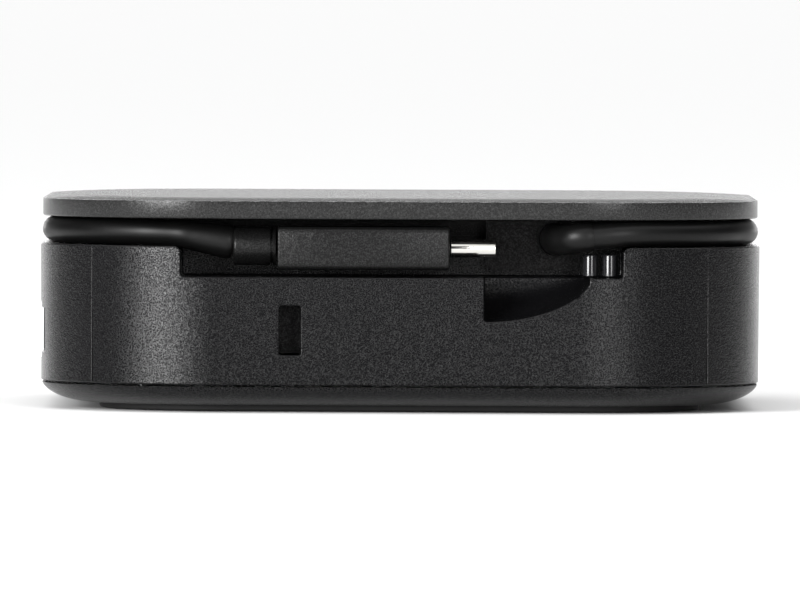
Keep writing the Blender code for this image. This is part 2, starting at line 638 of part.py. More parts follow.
def make_plug():
    neck_from, neck_to = Vector(PIVOT), Vector((-24.35, PLUG_Y, 23.5))
    way = (neck_to - neck_from).normalized()
    length = (neck_to - neck_from).length
    ball = [(-CABLE * math.cos(math.radians(a)), CABLE * math.sin(math.radians(a)))
            for a in (0, 22, 45, 68)]
    turned("cable_free_end", ball + [(0, CABLE), (1.6, CABLE + 0.03)], neck_from, way, SOFT, 16)
    neck = [(1.6 + GAP, 1.86), (3.0, 2.05), (4.5, 2.35), (length - 0.4, 2.45), (length, 2.2)]
    turned("plug_neck", neck, neck_from, way, SOFT, 20)
    turned("plug_sleeve", [(0, 2.3), (0.5, 2.68), (5.2, 2.68), (5.4, 2.45), (5.8, 2.45), (6.0, 2.6)],
           (-23.5, PLUG_Y, PLUG_Z), (1, 0, 0), PLASTIC, 24)
    overmould = [(-17.2, 5.6, 2.85, 0.8), (-17.05, 5.75, 3.0, 0.9),
                 (6.65, 5.75, 3.0, 0.9), (6.9, 5.5, 2.75, 0.8)]
    section_x("plug_overmould", overmould, PLASTIC)
    shell = section_x("plug_shell", [(7.2, 4.12, 1.2, 1.19), (13.2, 4.12, 1.2, 1.19),
                                     (13.4, 4.0, 1.08, 1.07)], NICKEL)
    cut(shell, section_x("plug_mouth", [(7.9, 3.85, 0.93, 0.92), (14.0, 3.85, 0.93, 0.92)], NICKEL))
    slab("plug_tongue", (8.2, PLUG_Y - 3.3, PLUG_Z - 0.6), (12.6, PLUG_Y + 3.3, PLUG_Z + 0.6), INSULATOR)
    hold = bpy.data.objects.new("plug_swing_axis", None)
    hold.location = Vector(PIVOT) * MM
    bpy.context.collection.objects.link(hold)
    for name in ("cable_free_end", "plug_neck", "plug_sleeve", "plug_overmould", "plug_shell",
                 "plug_tongue", "plug_mouth"):
        thing = bpy.data.objects[name]
        thing.parent = hold
        thing.matrix_parent_inverse = Matrix.Translation(-Vector(PIVOT) * MM)


make_foot_pad()
make_bottom_cover()
make_main_housing()
make_lock_plate()
make_cable_spool()
make_lid()
make_guide_pins()
make_screws()
make_board()
make_electronics()
make_ports()
make_lead()
make_inner_lead()
make_plug()
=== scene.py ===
# %% [markdown]
# # A travel docking station with its lead wound round the rim
#
# The real thing is a palm-sized black box that hangs off a laptop by one USB-C lead. The lead comes out of a
# block behind the front wall and runs once round a groove under the lid. Its plug lies in a pocket in front.
# The solids, their sizes and the way the plug swings come from the frame. This lesson gives each visible
# piece its finished surface: rounded edges, ribs, grain, contacts and the right sort of plastic or metal.

# %% Load the frame
import json
import math
import bmesh
import bpy
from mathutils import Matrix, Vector


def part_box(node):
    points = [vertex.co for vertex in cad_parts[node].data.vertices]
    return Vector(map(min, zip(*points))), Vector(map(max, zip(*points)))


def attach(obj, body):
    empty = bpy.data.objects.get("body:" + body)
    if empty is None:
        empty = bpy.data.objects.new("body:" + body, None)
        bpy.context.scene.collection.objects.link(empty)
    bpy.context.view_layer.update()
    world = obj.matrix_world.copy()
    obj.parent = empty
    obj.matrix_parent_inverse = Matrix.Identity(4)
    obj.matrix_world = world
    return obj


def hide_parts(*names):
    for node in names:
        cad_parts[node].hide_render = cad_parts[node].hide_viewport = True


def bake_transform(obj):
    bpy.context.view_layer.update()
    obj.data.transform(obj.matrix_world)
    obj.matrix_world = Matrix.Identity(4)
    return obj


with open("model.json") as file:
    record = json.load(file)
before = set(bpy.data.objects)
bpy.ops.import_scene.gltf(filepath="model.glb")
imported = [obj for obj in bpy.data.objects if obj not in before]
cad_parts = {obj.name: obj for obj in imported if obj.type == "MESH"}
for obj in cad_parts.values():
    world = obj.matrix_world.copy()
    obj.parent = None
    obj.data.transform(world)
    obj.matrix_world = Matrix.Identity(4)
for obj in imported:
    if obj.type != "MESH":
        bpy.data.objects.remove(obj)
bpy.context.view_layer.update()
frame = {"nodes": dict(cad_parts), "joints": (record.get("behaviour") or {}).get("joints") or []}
MM = 0.001

# %% [markdown]
# ## Sizes that several pieces share
# A new piece has to sit exactly where its solid is, so nothing is typed in twice if a solid can tell it.
# What a box can't tell, such as a corner radius, is named here once, in millimetres.

# %% Sizes from the solids
def span(node):
    """Lowest and highest corner of a solid, in millimetres."""
    low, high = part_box(node)
    return low / MM, high / MM


house_low, house_high = span("main_housing")
lid_low, lid_high = span("lid_cover")
pad_low, pad_high = span("foot_pad")
HALF = house_high.x                  # half the side of the square plan
CORNER = 26.0                        # plan corner radius of the housing
LID_INSET = HALF - lid_high.x
DECK = house_high.z                  # top of the housing, where the lead lies
FRONT = -HALF
print("housing half side", round(HALF, 2), "lid inset", round(LID_INSET, 2), "deck", round(DECK, 2))

# %% [markdown]
# ## Tools for modelling
# Every piece starts as a primitive at its real size and place. Edit-mode operators act on whatever is
# selected, so the helpers below pick faces or edges by their place, in code, the way a hand would click them.

# %% Tools: primitives and selection
def clear_selection():
    """Deselect every object, because operators act on all that is selected."""
    if bpy.context.object and bpy.context.object.mode == "EDIT":
        bpy.ops.object.mode_set(mode="OBJECT")
    bpy.ops.object.select_all(action="DESELECT")


def settle(name):
    """Name the new object and bake its place into its mesh."""
    thing = bpy.context.object
    thing.name = thing.data.name = name
    bpy.ops.object.transform_apply(location=True, rotation=True, scale=True)
    return thing


def block(name, low, high):
    """A box between two corners, in millimetres."""
    clear_selection()
    low, high = Vector(low) * MM, Vector(high) * MM
    bpy.ops.mesh.primitive_cube_add(size=1, location=(low + high) / 2, scale=high - low)
    return settle(name)


def rod(name, radius, start, end, sides=32):
    """A cylinder between two points, in millimetres."""
    clear_selection()
    start, end = Vector(start) * MM, Vector(end) * MM
    turn = (end - start).to_track_quat("Z", "Y").to_euler()
    bpy.ops.mesh.primitive_cylinder_add(vertices=sides, radius=radius * MM, depth=(end - start).length,
                                        location=(start + end) / 2, rotation=turn)
    return settle(name)


def pick(thing, kind, wanted):
    """Go into edit mode and select the faces, edges or verts that wanted() accepts."""
    clear_selection()
    thing.select_set(True)
    bpy.context.view_layer.objects.active = thing
    bpy.ops.object.mode_set(mode="EDIT")
    bpy.ops.mesh.select_mode(type={"faces": "FACE", "edges": "EDGE", "verts": "VERT"}[kind])
    bpy.ops.mesh.select_all(action="DESELECT")
    mesh = bmesh.from_edit_mesh(thing.data)
    found = [part for part in getattr(mesh, kind) if wanted(part)]
    for part in found:
        part.select_set(True)
    mesh.select_flush_mode()
    bmesh.update_edit_mesh(thing.data)
    return len(found)


def along(axis):
    """Accept edges that run along one axis, 0 to 2."""
    def test(edge):
        way = edge.verts[1].co - edge.verts[0].co
        return way.length > 0 and abs(way[axis]) > 0.999 * way.length
    return test


def facing(axis, sign):
    """Accept faces that look along one axis."""
    return lambda face: face.normal[axis] * sign > 0.9


def rim(axis, place):
    """Accept edges whose ends both lie at one place along an axis, in millimetres."""
    return lambda edge: all(abs(vert.co[axis] / MM - place) < 0.01 for vert in edge.verts)


def bevel(thing, wanted, width, steps=3):
    """Round the chosen edges."""
    count = pick(thing, "edges", wanted)
    bpy.ops.mesh.bevel(offset=width * MM, segments=steps, affect="EDGES")
    bpy.ops.object.mode_set(mode="OBJECT")
    return count


# %% [markdown]
# ## Tools for modifiers and shading
# Cuts are Boolean modifiers, applied one by one, as each would be clicked. A large round corner is shaded
# smooth, but a cut leaves slivers that pull its shading about. So the wall's normals are set from the outline
# itself at the end, which hides them.


# %% Tools: modifiers and shading
def apply_all(thing):
    """Apply the object's modifiers, top first."""
    clear_selection()
    thing.select_set(True)
    bpy.context.view_layer.objects.active = thing
    for change in list(thing.modifiers):
        bpy.ops.object.modifier_apply(modifier=change.name)


def carve(target, tools, operation="DIFFERENCE"):
    """Cut the tools out of the target, or join them on, and throw the tools away."""
    for tool in tools:
        change = target.modifiers.new(tool.name, "BOOLEAN")
        change.operation, change.solver, change.object = operation, "EXACT", tool
        apply_all(target)
        bpy.data.objects.remove(tool)
    return target


def smooth(thing, degrees=35):
    """Shade round surfaces smooth and keep edges sharper than this angle."""
    clear_selection()
    thing.select_set(True)
    bpy.context.view_layer.objects.active = thing
    bpy.ops.object.shade_smooth_by_angle(angle=math.radians(degrees))


def soften(thing, width, steps=2, degrees=35):
    """Round every edge sharper than this angle, then let flat faces keep flat shading."""
    change = thing.modifiers.new("soften", "BEVEL")
    change.width, change.segments = width * MM, steps
    change.limit_method, change.angle_limit = "ANGLE", math.radians(degrees)
    change.use_clamp_overlap = False
    weigh = thing.modifiers.new("weigh", "WEIGHTED_NORMAL")
    weigh.keep_sharp = True
    smooth(thing, 60)
    apply_all(thing)


def rim_distance(x, y, half, radius):
    """How far a point lies inside a rounded square."""
    qx, qy = abs(x) - (half - radius), abs(y) - (half - radius)
    outside = math.hypot(max(qx, 0.0), max(qy, 0.0))
    return radius - outside - min(max(qx, qy), 0.0)


def outline_normal(x, y, half, radius):
    """Which way the outline of a rounded square faces at a point."""
    qx, qy = max(0.0, abs(x) - (half - radius)), max(0.0, abs(y) - (half - radius))
    if qx == qy == 0.0:
        qx, qy = (1.0, 0.0) if abs(x) > abs(y) else (0.0, 1.0)
    way = Vector((math.copysign(qx, x), math.copysign(qy, y), 0.0))
    return way.normalized()


WALL_SKIN = 0.4             # mm: deeper than this a face isn't part of the outer wall
NEARLY_PARALLEL = 0.985     # cosine of the largest turn that the shading may take back


def true_wall_normals(thing, half, radius):
    """Shade the outer wall by its true outline, so cuts in it leave no streaks."""
    mesh = thing.data
    normals = [Vector(corner.vector) for corner in mesh.corner_normals]
    for face in mesh.polygons:
        if abs(face.normal.z) > 0.3:
            continue
        for loop in face.loop_indices:
            spot = mesh.vertices[mesh.loops[loop].vertex_index].co / MM
            wanted = outline_normal(spot.x, spot.y, half, radius)
            on_wall = rim_distance(spot.x, spot.y, half, radius) < WALL_SKIN
            if on_wall and wanted.dot(face.normal) > NEARLY_PARALLEL:
                normals[loop] = wanted
    mesh.normals_split_custom_set(normals)


# %% [markdown]
# ## Camera, floor and light
# The dock is seen almost level from two metres away through a long lens, so its edges hardly converge.
# A pale floor runs off behind it. Black plastic shows its shape only by what it reflects: a white
# surrounding behind gives the bright rims, and two tall soft lights in front give the broad upright
# gleams on the rounded corners.

# %% Camera
VIEW_DISTANCE = 2000.0      # mm from the front wall
VIEW_HEIGHT = 62.0          # mm above the floor
FRAME_WIDTH = 112.1         # mm of the front wall that the frame takes in
AIM = Vector((0.0, FRONT, 15.9))
ROLL = 0.27                 # degrees

lens = bpy.data.cameras.new("camera")
lens.sensor_width = 36.0
lens.lens = lens.sensor_width * VIEW_DISTANCE / FRAME_WIDTH
lens.clip_start, lens.clip_end = 0.01, 200.0
camera = bpy.data.objects.new("camera", lens)
bpy.context.scene.collection.objects.link(camera)
camera.location = Vector((0.0, FRONT - VIEW_DISTANCE, VIEW_HEIGHT)) * MM
look = (AIM * MM - camera.location).to_track_quat("-Z", "Y")
camera.rotation_euler = look.to_euler()
camera.rotation_euler.rotate_axis("Z", math.radians(ROLL))
bpy.context.scene.camera = camera
bpy.context.scene.view_settings.view_transform = "Standard"
print("focal length in mm:", round(lens.lens))

# %% Floor
FLOOR_SIDE = 120.0          # metres: far enough for its edge to meet the pale surrounding

clear_selection()
bpy.ops.mesh.primitive_plane_add(size=FLOOR_SIDE, location=(0, FLOOR_SIDE / 6, -0.1 * MM))
floor = settle("floor")
print("floor side in m:", FLOOR_SIDE)


# %% Soft lights
def softbox(name, place, size, power, aim=(0, 0, 0.012)):
    """A rectangular lamp at a place in metres, turned to the dock."""
    lamp = bpy.data.lights.new(name, "AREA")
    lamp.shape, lamp.size, lamp.size_y, lamp.energy = "RECTANGLE", size[0], size[1], power
    holder = bpy.data.objects.new(name, lamp)
    bpy.context.scene.collection.objects.link(holder)
    holder.location = place
    holder.rotation_euler = (Vector(aim) - Vector(place)).to_track_quat("-Z", "Y").to_euler()
    return holder


softbox("left_light", place=(-0.93, -1.18, 0.35), size=(0.72, 0.7), power=38.0)
softbox("right_light", place=(0.52, -1.4, 0.35), size=(0.42, 0.7), power=8.5)
print("lights:", len(bpy.data.lights))

# %% [markdown]
# ## Materials
# Each finish is a small node graph. One helper adds a node, sets its values and joins its inputs. Patterns
# read Object coordinates, which are metres here, so a noise scale is one over the size of the feature.


# %% Tools: colour and nodes
def linear(code):
    """An sRGB hex colour as linear light."""
    parts = [int(code[i:i + 2], 16) / 255 for i in (1, 3, 5)]
    return [p / 12.92 if p <= 0.04045 else ((p + 0.055) / 1.055) ** 2.4 for p in parts] + [1.0]


def add(tree, kind, values=None, **joined):
    """Add one node, set its values by name, and join sockets to its inputs."""
    made = tree.nodes.new("ShaderNode" + kind)
    for name, value in (values or {}).items():
        if name in made.inputs:
            made.inputs[name].default_value = value
        else:
            setattr(made, name, value)
    for name, socket in joined.items():
        tree.links.new(socket, made.inputs[name.replace("_", " ")])
    return made


def begin(name, colour, roughness, metallic=0.0, ior=None):
    """A new material with its Principled shader and Object coordinates."""
    skin = bpy.data.materials.new(name)
    skin.use_nodes = True
    tree = skin.node_tree
    shader = tree.nodes["Principled BSDF"]
    shader.inputs["Base Color"].default_value = linear(colour)
    shader.inputs["Roughness"].default_value = roughness
    shader.inputs["Metallic"].default_value = metallic
    if ior:
        shader.inputs["IOR"].default_value = ior
    return skin, tree, shader, add(tree, "TexCoord").outputs["Object"]


# %% World
BACK_LIGHT = 3.9            # strength of the white surrounding behind, near the horizon
CEILING_LIGHT = 1.7
FRONT_LIGHT = 0.02


def studio_air():
    """White cyclorama behind, a bright ceiling, and darkness in front."""
    sky = bpy.data.worlds.new("studio")
    bpy.context.scene.world = sky
    sky.use_nodes = True
    tree = sky.node_tree
    way = add(tree, "SeparateXYZ", Vector=add(tree, "TexCoord").outputs["Generated"])

    def between(axis, start, end, low, high):
        """A soft step in strength from low to high as the direction turns along one axis."""
        ranged = add(tree, "MapRange", {"From Min": start, "From Max": end, "To Min": low, "To Max": high,
                                        "interpolation_type": "SMOOTHSTEP"}, Value=way.outputs[axis])
        return ranged.outputs["Result"]

    behind = add(tree, "Math", {"operation": "MULTIPLY"})
    tree.links.new(between("Y", 0.7, 1.0, 0.0, BACK_LIGHT), behind.inputs[0])
    tree.links.new(between("Z", 0.03, 0.22, 1.0, 0.15), behind.inputs[1])
    both = add(tree, "Math", {"operation": "ADD"})
    tree.links.new(behind.outputs[0], both.inputs[0])
    tree.links.new(between("Z", 0.45, 0.8, FRONT_LIGHT, CEILING_LIGHT), both.inputs[1])
    tree.links.new(both.outputs[0], tree.nodes["Background"].inputs["Strength"])
    tree.nodes["Background"].inputs["Color"].default_value = (1, 1, 1, 1)


studio_air()
paper = begin("pale_studio_floor", "#f4f4f4", 0.9)[0]
floor.data.materials.append(paper)
print("strength behind and overhead:", BACK_LIGHT, CEILING_LIGHT)

# %% [markdown]
# ## Moulded plastic
# The case is black ABS. Its mould was spark-eroded, which leaves a fine pitted grain: the wall looks matt as
# a whole, yet each pit gives its own small gleam. A bump alone gives the pits but not the sparkle, so the
# same noise also raises the shader's specular level here and there. The grain is drawn at 0.2 mm, about
# twice as coarse as such a mould leaves it, because a finer one would not show.


# %% Spark-eroded ABS
WIDE_GRAIN = 3.1            # the slower unevenness, in grain widths


def spark_eroded(name, colour, roughness, grain, depth, gloss=0.19, sparkle=0.1):
    """Moulded plastic with the fine pitted grain that a spark-eroded mould leaves."""
    skin, tree, shader, place = begin(name, colour, roughness, ior=1.5)
    pits = add(tree, "TexNoise", {"Scale": 1 / (grain * MM), "Detail": 2.0, "Roughness": 0.6}, Vector=place)
    wide = add(tree, "TexNoise", {"Scale": 1 / (WIDE_GRAIN * grain * MM), "Detail": 1.0}, Vector=place)
    both = add(tree, "Math", {"operation": "MULTIPLY_ADD"}, Value=wide.outputs["Fac"])
    both.inputs[1].default_value = 0.5
    tree.links.new(pits.outputs["Fac"], both.inputs[2])
    dent = add(tree, "Bump", {"Strength": 1.0, "Distance": depth * MM}, Height=both.outputs["Value"])
    tree.links.new(dent.outputs["Normal"], shader.inputs["Normal"])
    sheen = add(tree, "MapRange", {"To Min": roughness - 0.06, "To Max": roughness + 0.08},
                Value=pits.outputs["Fac"])
    tree.links.new(sheen.outputs["Result"], shader.inputs["Roughness"])
    speck = add(tree, "MapRange", {"From Min": 0.44, "From Max": 0.68, "To Min": gloss - sparkle,
                                   "To Max": gloss + 2.5 * sparkle}, Value=pits.outputs["Fac"])
    tree.links.new(speck.outputs["Result"], shader.inputs["Specular IOR Level"])
    return skin


case_plastic = spark_eroded("spark_eroded_abs", "#0b0b0c", 0.2, 0.2, 0.043)
lid_plastic = spark_eroded("fine_grain_abs", "#151515", 0.24, 0.2, 0.01, 0.36, 0.1)
plug_plastic = spark_eroded("plug_overmould_abs", "#0e0e0e", 0.3, 0.17, 0.03, 0.2, 0.08)
# A darker, less glossy copy of the case plastic for the spool block at the pocket's back and the sheet behind
# the lock slot: painted shade for those recesses.
shade_dark_inner_plastic = spark_eroded("inner_abs_painted_shade", "#060606", 0.35, 0.2, 0.05, 0.08, 0.04)
print("moulded plastics:", case_plastic.name, lid_plastic.name, plug_plastic.name, shade_dark_inner_plastic.name)

# %% [markdown]
# ## Jacket, metals and small plastics
# The lead's jacket is a thermoplastic elastomer, drawn through a die: satin black with a soft gleam along it.
# The plug's shell and the ports are nickel-plated steel and the screws zinc-plated. The lock plate is
# darkened steel, its darkness painted shade for the slot it sits behind. Only the roughness changes from
# patch to patch on them, as handling and plating leave it.


# %% Thermoplastic jacket of the lead
def extruded_jacket(name, colour, roughness):
    """Thermoplastic elastomer drawn through a die: satin, with faint long waves."""
    skin, tree, shader, place = begin(name, colour, roughness, ior=1.5)
    shader.inputs["Specular IOR Level"].default_value = 0.2
    haze = add(tree, "TexNoise", {"Scale": 1 / (0.5 * MM), "Detail": 3.0}, Vector=place)
    wave = add(tree, "TexNoise", {"Scale": 1 / (4.0 * MM), "Detail": 1.0}, Vector=place)
    bump = add(tree, "Bump", {"Strength": 0.5, "Distance": 0.004 * MM}, Height=haze.outputs["Fac"])
    tree.links.new(bump.outputs["Normal"], shader.inputs["Normal"])
    sheen = add(tree, "MapRange", {"To Min": roughness - 0.07, "To Max": roughness + 0.07},
                Value=wave.outputs["Fac"])
    tree.links.new(sheen.outputs["Result"], shader.inputs["Roughness"])
    return skin


jacket = extruded_jacket("tpe_jacket", "#080808", 0.42)
boot_rubber = extruded_jacket("tpe_boot", "#080808", 0.42)
print("jackets:", jacket.name, boot_rubber.name)


# %% Metals
def plated(name, colour, roughness, grain=0.15):
    """Plated sheet metal: bright, with slight rubbed patches."""
    skin, tree, shader, place = begin(name, colour, roughness, metallic=1.0)
    rub = add(tree, "TexNoise", {"Scale": 1 / (grain * 10 * MM), "Detail": 4.0}, Vector=place)
    sheen = add(tree, "MapRange", {"To Min": roughness - 0.05, "To Max": roughness + 0.1},
                Value=rub.outputs["Fac"])
    tree.links.new(sheen.outputs["Result"], shader.inputs["Roughness"])
    fine = add(tree, "TexNoise", {"Scale": 1 / (grain * MM), "Detail": 2.0}, Vector=place)
    bump = add(tree, "Bump", {"Strength": 0.3, "Distance": 0.002 * MM}, Height=fine.outputs["Fac"])
    tree.links.new(bump.outputs["Normal"], shader.inputs["Normal"])
    return skin


nickel = plated("nickel_plated_steel", "#d9d7d2", 0.14)
zinc = plated("zinc_plated_steel", "#a9abad", 0.35, 0.25)
# The lock plate's steel is darkened as painted shade for the slot it sits behind.
shade_dark_steel = plated("darkened_steel_painted_shade", "#1c1c1d", 0.4, 0.25)
gold = plated("gold_flashed_contact", "#d8b25c", 0.25)
alloy = plated("rolled_aluminium", "#b9bbbd", 0.38, 0.3)
print("metals:", [skin.name for skin in (nickel, zinc, shade_dark_steel, gold, alloy)])


# %% Small plastics and board materials
def plain_moulding(name, colour, roughness, grain=0.4):
    """Smooth moulding with a slight unevenness of gloss."""
    skin, tree, shader, place = begin(name, colour, roughness, ior=1.5)
    haze = add(tree, "TexNoise", {"Scale": 1 / (grain * MM), "Detail": 3.0}, Vector=place)
    sheen = add(tree, "MapRange", {"To Min": max(0.02, roughness - 0.06), "To Max": roughness + 0.06},
                Value=haze.outputs["Fac"])
    tree.links.new(sheen.outputs["Result"], shader.inputs["Roughness"])
    return skin


acetal = plain_moulding("polished_acetal", "#1c1c1e", 0.12)
contact_block = plain_moulding("pbt_insulator", "#101011", 0.45)
blue_block = plain_moulding("blue_pbt", "#1e3f8e", 0.45)
chip_epoxy = plain_moulding("moulded_epoxy", "#121314", 0.5, 0.12)
silicone = plain_moulding("thermal_silicone", "#8b9098", 0.8, 0.2)


GRIT = 0.45                 # mm between the grains of the foot's rubber
WEAVE = 0.942               # mm between the threads of the board's glass cloth


def foot_rubber():
    """Die-cut rubber sheet with a close matt grain."""
    skin, tree, shader, place = begin("die_cut_rubber", "#171717", 0.75, ior=1.52)
    grit = add(tree, "TexVoronoi", {"Scale": 1 / (GRIT * MM)}, Vector=place)
    bump = add(tree, "Bump", {"Strength": 0.6, "Distance": 0.02 * MM}, Height=grit.outputs["Distance"])
    tree.links.new(bump.outputs["Normal"], shader.inputs["Normal"])
    return skin


def solder_mask():
    """Green lacquer over woven fibreglass, whose weave shows through faintly."""
    skin, tree, shader, place = begin("solder_mask_board", "#14432a", 0.35, ior=1.55)
    scale = math.tau / 20 / (WEAVE * MM)     # a wave texture of scale 1 repeats every tau / 20
    warp = add(tree, "TexWave", {"Scale": scale, "bands_direction": "X"}, Vector=place)
    weft = add(tree, "TexWave", {"Scale": scale, "bands_direction": "Y"}, Vector=place)
    weave = add(tree, "Math", {"operation": "MULTIPLY"}, Value=warp.outputs["Fac"])
    tree.links.new(weft.outputs["Fac"], weave.inputs[1])
    bump = add(tree, "Bump", {"Strength": 0.4, "Distance": 0.01 * MM}, Height=weave.outputs["Value"])
    tree.links.new(bump.outputs["Normal"], shader.inputs["Normal"])
    return skin


rubber = foot_rubber()
board_lacquer = solder_mask()
print("materials:", len(bpy.data.materials))

# %% [markdown]
# ## Lid
# The lid is one moulding: a thin rounded square, domed at its edge, with fine ridges that run corner to
# corner. It could be a flat plate with painted stripes, but the ridges catch the light along the front
# edge, so they are real. A grid turned by 45 degrees has its rows along the ridges. Its height follows the
# dome and the ridges, and the rounded outline is then cut out of it.

# %% Lid
RIDGES = 76                 # how many the grid carries from corner to corner
RIDGE_PITCH = 1.9           # mm across the ridges
RIDGE_RISE = 0.12           # mm from valley to crest
RIM_TOP = 29.62             # where the upright rim ends
DOME_WIDTH = 11.0           # how far in the edge falls away
RIDGE_FADE = 0.8            # the ridges grow to full depth over this width
SAMPLES = 6                 # grid columns for each ridge


def lid_height(x, y):
    """Height of the lid's top at a point, in millimetres."""
    inside = max(0.0, rim_distance(x, y, lid_high.x, CORNER - LID_INSET)) / DOME_WIDTH
    fall = (1 - min(1.0, inside)) ** 2
    across = (x - y) / math.sqrt(2)
    ridge = 0.5 - 0.5 * math.cos(math.tau * across / RIDGE_PITCH)
    fade = min(1.0, inside * DOME_WIDTH / RIDGE_FADE)
    return lid_high.z - (lid_high.z - RIM_TOP) * fall - RIDGE_RISE * ridge * fade


def make_lid():
    """The ridged grid, thickened, raised to the dome and cut to the rounded outline."""
    clear_selection()
    bpy.ops.mesh.primitive_grid_add(x_subdivisions=SAMPLES * RIDGES, y_subdivisions=90,
                                    size=RIDGES * RIDGE_PITCH * MM, rotation=(0, 0, math.radians(-45)))
    top = settle("lid_top_ridged")
    pick(top, "faces", lambda face: True)
    bpy.ops.mesh.extrude_region_move(TRANSFORM_OT_translate={"value": (0, 0, 1 * MM)})
    bpy.ops.object.mode_set(mode="OBJECT")
    for vert in top.data.vertices:
        low = vert.co.z < 0.5 * MM
        x, y = vert.co.x / MM, vert.co.y / MM
        vert.co.z = (lid_low.z - 1) * MM if low else lid_height(x, y) * MM
    outline = block("lid_outline", (-lid_high.x, -lid_high.x, lid_low.z),
                    (lid_high.x, lid_high.x, lid_high.z + 1))
    bevel(outline, along(2), CORNER - LID_INSET, 32)
    bevel(outline, rim(2, lid_low.z), 0.3, 3)
    carve(top, [outline], "INTERSECT")
    smooth(top, 30)
    top.data.materials.append(lid_plastic)
    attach(top, "dock")
    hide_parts("lid_cover")
    return top


lid = make_lid()
print("lid faces:", len(lid.data.polygons))

# %% [markdown]
# ## Housing
# The housing is a deep tray turned upside down, with a pocket, a finger scoop, a lock slot and port windows
# cut in it. It is modelled the way the mould is: the outer block first, then the hollow, then each cut.
# The last step rounds every sharp edge by about a fifth of a millimetre, as moulding does.

# %% Housing: the cuts
POCKET_LEFT, POCKET_RIGHT = -30.8, 31.3
POCKET_FLOOR = 19.0
POCKET_BACK = FRONT + 15.0
POCKET_LIP = 1.0            # radius of the wall's upper corners at the pocket
POCKET_FILLET = 0.5         # radius of the pocket's lower corners
SCOOP_LEFT, SCOOP_WIDTH, SCOOP_DROP, SCOOP_DEPTH = 11.8, 15.0, 6.15, 9.0
SCOOP_CURVE = 0.6           # exponent that shapes the scoop's lower outline
SCOOP_FILLET = 0.45         # radius of its lower left corner
EDGE_ROUND = 0.19
WALL_STEPS = 30             # faces in each round corner: none of their edges may meet a cut


def pocket_tool():
    """The pocket's space, with its lower corners rounded and its upper ones flared."""
    tool = block("pocket_tool", (POCKET_LEFT, FRONT - 2, POCKET_FLOOR), (POCKET_RIGHT, POCKET_BACK, DECK + 3))
    bevel(tool, lambda edge: along(1)(edge) and rim(2, POCKET_FLOOR)(edge), POCKET_FILLET, 3)
    return tool


def corner_tools():
    """Two small wedges with a hollow round face, which round the wall's ends at the pocket."""
    tools = []
    centre_z = DECK - POCKET_LIP
    for x, centre_x in ((POCKET_LEFT, POCKET_LEFT - POCKET_LIP), (POCKET_RIGHT, POCKET_RIGHT + POCKET_LIP)):
        wedge = block("corner_tool", (min(x, centre_x), FRONT - 2, centre_z),
                      (max(x, centre_x), POCKET_BACK, DECK + 1))
        round_part = rod("corner_round", POCKET_LIP, (centre_x, FRONT - 3, centre_z),
                         (centre_x, POCKET_BACK + 1, centre_z), 48)
        carve(wedge, [round_part])
        tools.append(wedge)
    return tools


def scoop_tool():
    """The scoop's space: an upright back that curves forward, dying out to the right."""
    columns, rows = 20, 14
    tool_mesh = bpy.data.meshes.new("scoop_tool")
    edit = bmesh.new()
    rings = []
    shares = [0.0, 0.004, 0.014, 0.03]      # close together, for the fillet at the left
    shares += [0.985 * math.sin(math.radians(90) * i / columns) for i in range(1, columns + 1)]
    for share in shares:
        drop = SCOOP_DROP * (1 - share ** 2) ** SCOOP_CURVE
        short = max(0.0, SCOOP_FILLET - share * SCOOP_WIDTH)
        drop -= SCOOP_FILLET - math.sqrt(SCOOP_FILLET ** 2 - short ** 2)
        x = SCOOP_LEFT + SCOOP_WIDTH * share
        spots = [(FRONT - 2, POCKET_FLOOR + 0.6), (FRONT - 2, POCKET_FLOOR - drop)]
        for row in range(rows + 1):
            turn = math.radians(90) * row / rows
            spots.append((FRONT + SCOOP_DEPTH * math.sin(turn), POCKET_FLOOR - drop * math.cos(turn)))
        spots.append((FRONT + SCOOP_DEPTH, POCKET_FLOOR + 0.6))
        rings.append([edit.verts.new(Vector((x, y, z)) * MM) for y, z in spots])
    for a, b in zip(rings, rings[1:]):
        for i in range(len(a)):
            j = (i + 1) % len(a)
            edit.faces.new((a[i], a[j], b[j], b[i]))
    edit.faces.new(rings[0])
    edit.faces.new(rings[-1][::-1])
    bmesh.ops.recalc_face_normals(edit, faces=edit.faces)
    edit.to_mesh(tool_mesh)
    edit.free()
    tool = bpy.data.objects.new("scoop_tool", tool_mesh)
    bpy.context.scene.collection.objects.link(tool)
    return tool


# %% Housing: body
DRAFT = 0.1                 # how far the wall leans in by its lower edge
WALL = 2.1
DECK_UNDER = 21.3
TUB_WALL = 2.0              # wall of the tubs that close the pocket and the scoop from the inside
TUB_FRONT = FRONT + 1.9     # where the tubs join the front wall
SLOT_LEFT, SLOT_RIGHT, SLOT_LOW, SLOT_HIGH = -16.93, -13.93, 8.06, 15.02
SLOT_RADIUS = 0.35
BAND_REACH, BAND_LOW, BAND_HIGH, BAND_DEPTH = 37.6, 6.9, 15.0, 0.25     # recessed strip round the side ports


def tubs():
    """The walls round the pocket and the scoop, as solid blocks still."""
    pocket = block("tub", (POCKET_LEFT - TUB_WALL, TUB_FRONT, POCKET_FLOOR - TUB_WALL),
                   (POCKET_RIGHT + TUB_WALL, POCKET_BACK + TUB_WALL, DECK - 0.6))
    scoop = block("scoop_tub", (SCOOP_LEFT - TUB_WALL, TUB_FRONT, POCKET_FLOOR - SCOOP_DROP - TUB_WALL),
                  (SCOOP_LEFT + SCOOP_WIDTH + TUB_WALL, FRONT + SCOOP_DEPTH + TUB_WALL, POCKET_FLOOR - 1))
    return [pocket, scoop]


